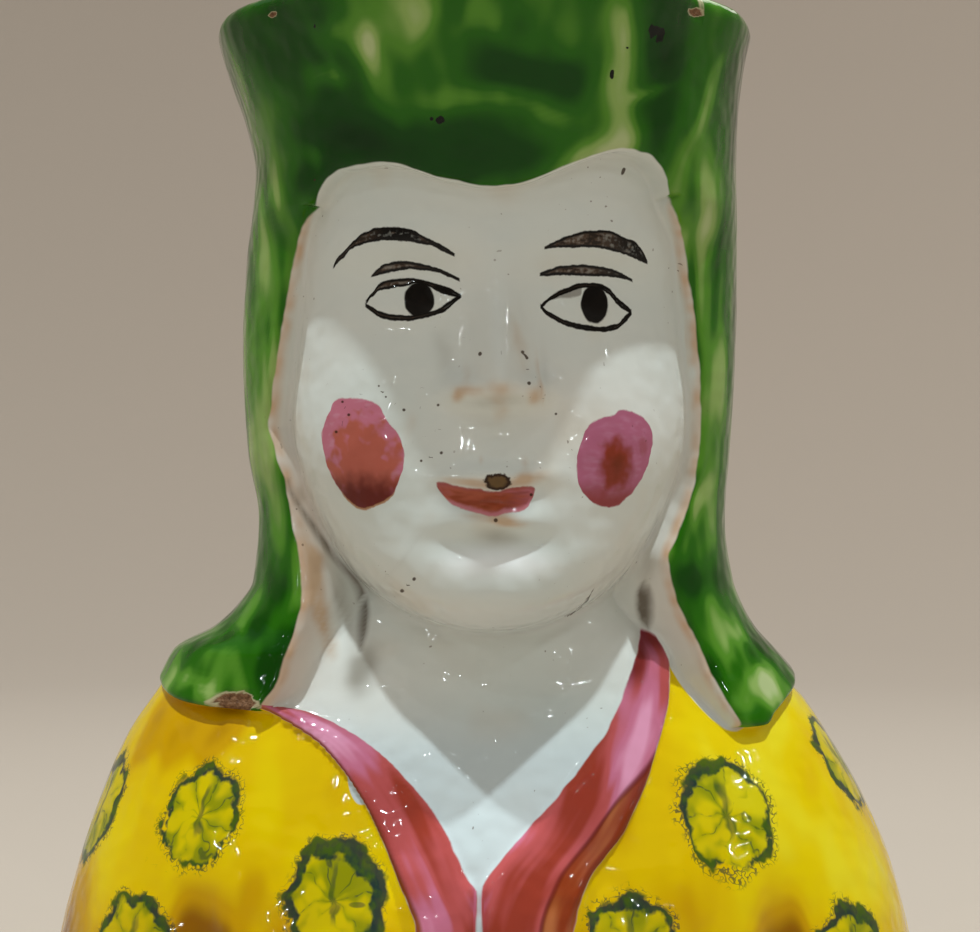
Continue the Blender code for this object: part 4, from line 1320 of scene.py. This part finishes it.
def eyes(glaze):
    """Eyes, lids and brows, brushed in black that thins to grey brown."""
    brush = Brush(glaze)
    ragged, fine, streak = brush.ragged, brush.fine, brush.streak
    for pupil in (LEFT_PUPIL, RIGHT_PUPIL):
        inside = ellipse(brush.across, brush.down, *pupil) * 15
        black = glaze.mixed(ragged.passage(0.1, 0.5) * 0.3, (10, 8, 7), (46, 34, 26))
        glaze.paint(inside.passage(-0.9, 0.9), black)
    glaze.paint(brush.mark(RIGHT_EYE_WASH).passage(-1.5, 1.5) * 0.6, BRUSH_GREY)
    for stations, black_from in BLACK_MARKS:
        mark = brush.mark(stations) + 0.5
        black = glaze.across.passage(black_from - 26, black_from + 22)
        hairs = (streak + fine * 0.6).passage(-0.02, 0.16) * 0.75
        dark = mark.passage(4.4, 1.8).most(black * (ragged + streak * 1.5).passage(-0.5, -0.1)).most(hairs)
        colour = glaze.mixed(dark, BRUSH_GREY, BRUSH_BLACK)
        thin = 1 - (mark.passage(2, 5) * (streak + fine).passage(0.05, -0.25)) * 0.22
        glaze.paint(mark.passage(-0.8, 0.7) * thin, colour)


def specks(glaze, spots):
    """Dark specks fired into the glaze, or the burst bubbles on the hat."""
    ragged = glaze.cloud(0.8, detail=0, shift=(2, 6, 1))
    split = glaze.split(glaze.known_vector("speck"))
    inside = 1 - split[0].hypotenuse(split[1])
    if spots:
        glaze.paint((inside + ragged * 2.4).passage(0.0, 0.4), BUBBLE_BLACK)
    else:
        glaze.paint((inside + ragged).passage(0.0, 0.55) * 0.9, SPECK_BROWN)


def pinholes(glaze):
    """Fine brown pinholes, thick in some places and missing in most."""
    holes = glaze.cloud(0.5, detail=0, shift=(40, 3, 8))
    rare = glaze.cloud(9, detail=1, shift=(4, 30, 8))
    glaze.paint(holes.passage(0.31, 0.36) * rare.passage(0.0, 0.12) * 0.6, PINHOLE_BROWN)


def chips(glaze, drift):
    """Bare clay in the chips, with a cream rim of broken glaze. Returns how bare the clay is."""
    bare_clay = glaze.known("bare_clay") + drift * 0.3
    grit = glaze.cloud(0.5, detail=3, shift=(6, 6, 6))
    glaze.paint(bare_clay.passage(-0.06, 0.12) * 0.85, BROKEN_GLAZE)
    bare = bare_clay.passage(0.12, 0.3)
    glaze.paint(bare, glaze.mixed(grit * 1.8 + 0.5, DARK_CLAY, CLAY))
    return bare


def finished(glaze, bare=None):
    """Gloss and fine ripples of the glaze, and dull grit where the clay is bare."""
    tree, shader = glaze.tree, glaze.shader
    join(tree, glaze.colour, shader.inputs["Base Color"])
    ripple = glaze.cloud(1.9, detail=0, shift=(5, 1, 4))
    roughness = ripple.size() * RIPPLE_ROUGHNESS + GLAZE_ROUGHNESS
    height = ripple
    if bare is not None:
        roughness = roughness + bare * CLAY_ROUGHNESS
        height = ripple + bare * glaze.cloud(0.35, detail=2, shift=(6, 6, 6)) * 2
    bump = new_node(tree, "Bump", {"Strength": 1.0, "Distance": RIPPLE_HEIGHT, "Height": height})
    join(tree, bump.outputs["Normal"], shader.inputs["Normal"])
    join(tree, roughness, shader.inputs["Roughness"])
    shader.inputs["IOR"].default_value = GLAZE_IOR
    shader.inputs["Specular IOR Level"].default_value = GLAZE_SHINE
    return glaze.material


def covered_share(glaze, drift):
    """How much the green covers, with its hand-painted edge."""
    return (glaze.known("in_cover") + drift * 1.3).passage(-0.35, 0.25)


def ochre_and_painted_shade(glaze, drift):
    """Ochre wash and grey-brown painted shade, both thinning out raggedly on the white."""
    ochre, shade = glaze.known("ochre"), glaze.known("shade")
    # Painted shade, grey-brown, where the nose, the lip, the chin and the veil shadow the face and neck
    glaze.paint((shade + drift * shade * 0.5).passage(0.05, 0.9) * 0.75, PAINTED_SHADE_COLOUR)
    glaze.paint((ochre + drift * ochre * 1.8).passage(0.06, 0.75) * 0.72, OCHRE_WASH)


def inner_veil(glaze, drift, shown=1):
    """The pinkish inside of the veil with the tan line beside the green, the ochre and painted shade on the
    white, and painted shade darkening the slits at its foot.
    """
    past_edge = glaze.known("past_edge")
    by_height = glaze.z.passage(60, 70) * (glaze.z.passage(130, 100) * 0.45 + 0.12)
    by_side = 1 - glaze.x.passage(20, 30) * 0.5
    glaze.paint(past_edge.passage(-11, -2) * by_height * by_side * shown, VEIL_INSIDE)
    ochre_and_painted_shade(glaze, drift)
    line = past_edge.passage(-3.0, -1.0) * shown * (drift * 2.2 + 0.6)
    glaze.paint(line, TAN)
    # Painted shade in the slits between the neck and the veil
    slit = glaze.known("slit") + drift * 0.8
    glaze.paint(slit.passage(-5, 6) * shown * 0.9, SLIT_SHADE)


def marked_white(name, marks):
    """White glaze with specks, and what marks paints on it."""
    glaze = Glaze(name)
    white_glaze(glaze)
    inner_veil(glaze, glaze.cloud(2.6, detail=1, shift=(1, 1, 1)))
    if marks:
        marks(glaze)
    pinholes(glaze)
    specks(glaze, False)
    return finished(glaze)


def edge_glaze():
    """White and green along the edges of the veil and the hat."""
    glaze = Glaze("edge glaze")
    drift = glaze.cloud(2.6, detail=1, shift=(1, 1, 1))
    white_glaze(glaze)
    inner_veil(glaze, drift)
    green_glaze(glaze, covered_share(glaze, drift))
    pinholes(glaze)
    specks(glaze, False)
    return finished(glaze)


def yellow_glaze(name, stamped):
    """The yellow robe away from its edges, with or without its rosettes."""
    glaze = Glaze(name)
    glaze.colour = WHITE
    yellow_robe(glaze, 1)
    if stamped:
        rosettes(glaze, 1)
    return finished(glaze)


def robe_glaze():
    """Robe, lapels and bib where they meet, and the green of the hem above them."""
    glaze = Glaze("robe glaze")
    drift = glaze.cloud(2.6, detail=1, shift=(1, 1, 1))
    white_glaze(glaze)
    in_lapel = glaze.known("in_lapel")
    top = glaze.z + (glaze.x - LAPEL_TOP[0]) * 0.5 + drift * 2 - LAPEL_TOP[1]
    lapel = (in_lapel + drift * 0.9).passage(0.0, 0.5) * top.passage(0.5, -0.5)
    bare = ellipse(glaze.across, glaze.down, *BARE_BESIDE_LAPEL).passage(0, 0.6)
    overlap = glaze.z.passage(77, 72) * 0.6
    robe = (glaze.known("in_robe") + drift * 1.1 + overlap - bare * 1.8).passage(-0.1, 0.4) * (1 - lapel)
    robe = robe * glaze.z.passage(78.5, 76.5)
    inner_veil(glaze, drift, (1 - robe) * (1 - lapel))
    yellow_robe(glaze, robe)
    rosettes(glaze, robe)
    lapel_glaze(glaze, lapel)
    green_glaze(glaze, covered_share(glaze, drift))
    return finished(glaze, chips(glaze, drift))


def plain_green():
    """Green away from its edges, chips and spots."""
    glaze = Glaze("green glaze")
    glaze.colour = WHITE
    green_glaze(glaze, 1)
    return finished(glaze)


def cover_glaze():
    """Green with its spots and chips, and the white that begins inside the mouth."""
    glaze = Glaze("cover glaze")
    drift = glaze.cloud(2.6, detail=1, shift=(1, 1, 1))
    glaze.colour = WHITE
    green_glaze(glaze, 1)
    inside = glaze.known("inside")
    glaze.paint((inside + drift * 0.8).passage(0.25, 0.6) * 0.6, THIN_LIP)
    glaze.paint((inside + drift * 3).passage(2.4, 5.5), inner_white(glaze))
    specks(glaze, True)
    return finished(glaze, chips(glaze, drift))


def inner_white(glaze):
    return glaze.mixed(glaze.cloud(9, shift=(3, 3, 3)) + 0.5, INSIDE_LIGHT, INSIDE_DARK)


def hollow_glaze():
    """Thin cream glaze inside."""
    glaze = Glaze("hollow glaze")
    glaze.colour = inner_white(glaze)
    return finished(glaze)


def biscuit():
    """Bare fired clay under the foot."""
    glaze = Glaze("biscuit")
    grit = glaze.cloud(0.5, detail=3, shift=(6, 6, 6))
    glaze.colour = glaze.mixed(grit * 1.6 + 0.5, BISCUIT_DARK, BISCUIT_LIGHT)
    join(glaze.tree, glaze.colour, glaze.shader.inputs["Base Color"])
    glaze.shader.inputs["Roughness"].default_value = BISCUIT_ROUGHNESS
    return glaze.material


def in_box(across, down, box):
    left, right, top, bottom = box
    return (across > left) & (across < right) & (down > top) & (down < bottom)


def glaze_numbers(faces, values, vectors, points):
    """The number of each face's glaze in the order of GLAZES, by what may show on the face."""
    corners = np.array([face if len(face) == 4 else (*face, face[2]) for face in faces])
    least = {name: value[corners].min(axis=1) for name, value in values.items()}
    most = {name: value[corners].max(axis=1) for name, value in values.items()}
    across, down = (place[corners].mean(axis=1) for place in on_sheet(points))
    from_rosette, from_speck = (
        np.hypot(*vectors[name][:, :2].T)[corners].min(axis=1) for name in ("stamp", "speck")
    )
    middle = points[corners].mean(axis=1)
    on_face = middle[:, 2] > FACE_GLAZES_FROM
    clear_of_cover = most["in_cover"] < CLEAR_OF_COVER
    clear_of_robe = (most["in_lapel"] < CLEAR_OF_ROBE) & (most["in_robe"] < CLEAR_OF_ROBE)
    bare_white = clear_of_cover & (on_face | clear_of_robe)
    painted = bare_white & on_face & (middle[:, 1] < 0)
    deep_in_robe = (least["in_robe"] > DEEP_IN_ROBE) & (most["in_lapel"] < CLEAR_OF_LAPEL)
    yellow = clear_of_cover & ~on_face & deep_in_robe
    in_cover = least["in_cover"] > COVER_GLAZE_FROM
    unmarked = (most["bare_clay"] < CLEAR_OF_CHIPS) & (from_speck > CLEAR_OF_SPECKS)
    choices = (
        (least["under"] > 0.5, "biscuit"),
        (least["inside"] > HOLLOW_GLAZE_FROM, "hollow"),
        (in_cover & unmarked & (most["inside"] < CLEAR_OF_MOUTH), "green"),
        (in_cover, "cover"),
        (painted & in_box(across, down, EYES_BOX), "eyes"),
        (painted & in_box(across, down, LOWER_FACE_BOX), "lower face"),
        (bare_white, "white"),
        (yellow & (from_rosette > CLEAR_OF_ROSETTES), "plain yellow"),
        (yellow, "stamped yellow"),
        (on_face, "edge"),
    )
    names = np.select([where for where, name in choices], [name for where, name in choices], "robe")
    return np.select([names == name for name in GLAZES], range(len(GLAZES)))


GLAZES = {
    "white": lambda: marked_white("white glaze", None),
    "eyes": lambda: marked_white("eyes glaze", eyes),
    "lower face": lambda: marked_white("lower face glaze", lower_face),
    "edge": edge_glaze,
    "plain yellow": lambda: yellow_glaze("plain yellow glaze", False),
    "stamped yellow": lambda: yellow_glaze("stamped yellow glaze", True),
    "robe": robe_glaze,
    "green": plain_green,
    "cover": cover_glaze,
    "hollow": hollow_glaze,
    "biscuit": biscuit,
}


def added(name, data):
    """A new object in the scene."""
    made = bpy.data.objects.new(name, data)
    bpy.context.scene.collection.objects.link(made)
    return made


def faience_decanter():
    """The whole piece in place of the solid, with its glazes."""
    points, faces, values, vectors = decanter_mesh()
    mesh = bpy.data.meshes.new("faience_decanter")
    mesh.from_pydata(points.tolist(), [], faces)
    for name, value in values.items():
        kept = mesh.attributes.new(name, "FLOAT", "POINT")
        kept.data.foreach_set("value", value.astype(np.float32))
    for name, vector in vectors.items():
        kept = mesh.attributes.new(name, "FLOAT_VECTOR", "POINT")
        kept.data.foreach_set("vector", vector.astype(np.float32).ravel())
    mesh.shade_smooth()
    for material in GLAZES.values():
        mesh.materials.append(material())
    on_form = points / (ACROSS, AHEAD, UP)
    mesh.polygons.foreach_set("material_index", glaze_numbers(faces, values, vectors, on_form))
    piece = added("faience_decanter", mesh)
    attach(piece, "root")
    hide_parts("decanter")


# The studio's reach, the radius of its bend and its height in metres, and the steps round it and up the bend
STUDIO_RADIUS, STUDIO_BEND, STUDIO_HEIGHT = 1.65, 0.9, 1.3
STUDIO_STEPS, BEND_STEPS = 72, 12
PAPER, PAPER_ROUGHNESS = (172, 158, 144), 0.9


def studio():
    """A round pale floor that curves up into a low wall, far enough away for a camera to pass."""
    angles = np.linspace(0, math.pi / 2, BEND_STEPS + 1)
    line = [
        (STUDIO_RADIUS + STUDIO_BEND * (math.sin(angle) - 1), STUDIO_BEND * (1 - math.cos(angle)))
        for angle in angles
    ]
    line.append((STUDIO_RADIUS, STUDIO_HEIGHT))
    turns = [math.tau * step / STUDIO_STEPS for step in range(STUDIO_STEPS)]
    points = [(out * math.sin(turn), out * math.cos(turn), z) for out, z in line for turn in turns]
    rings = [ring_faces(number * STUDIO_STEPS, STUDIO_STEPS) for number in range(len(line) - 1)]
    faces = [tuple(face) for face in np.concatenate(rings).tolist()]
    faces.append(tuple(reversed(range(STUDIO_STEPS))))
    mesh = bpy.data.meshes.new("studio_floor")
    mesh.from_pydata(points, [], faces)
    mesh.shade_smooth()
    paper = bpy.data.materials.new("pale paper")
    paper.use_nodes = True
    shader = paper.node_tree.nodes["Principled BSDF"]
    join(paper.node_tree, PAPER, shader.inputs["Base Color"])
    join(paper.node_tree, PAPER_ROUGHNESS, shader.inputs["Roughness"])
    mesh.materials.append(paper)
    added("studio_floor", mesh)


# Lamps by turn from the front and lift in degrees, size in metres and power in watts
LAMPS = (
    (-76, 73.8, 0.04, 12.6), (74, 73.8, 0.04, 12.6), (-24, 44, 0.016, 0.4), (20, 36, 0.016, 0.4),
    (-58, 26, 0.02, 0.4), (60, 30, 0.02, 0.4), (4, 60, 0.016, 0.4), (-72, 46, 0.02, 0.4),
    (78, 40, 0.02, 0.4), (-11, 20, 0.014, 0.3), (28, 17, 0.014, 0.3), (-36, 13, 0.014, 0.3),
)
LAMPS_AWAY = 1.3
# Wide soft lamps: name, place, size and power
SOFT_BOXES = (("soft_box", (0, -1.2, 0.9), 1.1, 0.3), ("back_box", (0.6, 1.2, 1.2), 0.8, 3))
HEAD = (0, 0, 0.13)
ROOM_STRENGTH = 0.25
LAMP_COLOUR = (0.9, 1.0, 1.04)
FILL_COLOUR = (1.0, 0.94, 0.88)


def area_light(name, place, size, power, colour):
    """A round lamp that shines on the head."""
    data = bpy.data.lights.new(name, "AREA")
    data.shape = "DISK"
    data.size = size
    data.energy = power
    data.color = colour
    light = added(name, data)
    light.location = place
    light.rotation_euler = (Vector(HEAD) - Vector(place)).to_track_quat("-Z", "Y").to_euler()


def around_head(turn, lift, away):
    """A place by its turn from the front and its lift in degrees, and its distance from the head."""
    turn, lift = math.radians(turn), math.radians(lift)
    level = away * math.cos(lift)
    return (level * math.sin(turn), -level * math.cos(turn), HEAD[2] + away * math.sin(lift))


def lights():
    """Two high lamps, which leave the brim's shadow on the face, small lamps for glints, and soft fill."""
    for number, (turn, lift, size, power) in enumerate(LAMPS):
        area_light(f"lamp_{number}", around_head(turn, lift, LAMPS_AWAY), size, power, LAMP_COLOUR)
    for name, place, size, power in SOFT_BOXES:
        area_light(name, place, size, power, FILL_COLOUR)
    world = bpy.data.worlds.new("room light")
    world.use_nodes = True
    room = world.node_tree.nodes["Background"]
    room.inputs["Color"].default_value = (*FILL_COLOUR, 1)
    room.inputs["Strength"].default_value = ROOM_STRENGTH
    bpy.context.scene.world = world


def colours_as_painted():
    """Colours as a plain display shows them."""
    bpy.context.scene.view_settings.view_transform = "Standard"


# Lens and film width in millimetres, and the nearest distance seen in metres
LENS, FILM_WIDTH, NEAREST_SEEN = 84.8, 36, 0.01


def camera():
    """Level, at the face's height, as near as the photograph was taken."""
    data = bpy.data.cameras.new("camera")
    data.lens = LENS
    data.sensor_width = FILM_WIDTH
    data.clip_start = NEAREST_SEEN
    eye = added("camera", data)
    eye.location = (0, -SIGHT_DISTANCE * MM, SIGHT_HEIGHT * MM)
    eye.rotation_euler = (math.pi / 2, 0, 0)
    bpy.context.scene.camera = eye


faience_decanter()
studio()
lights()
colours_as_painted()
camera()
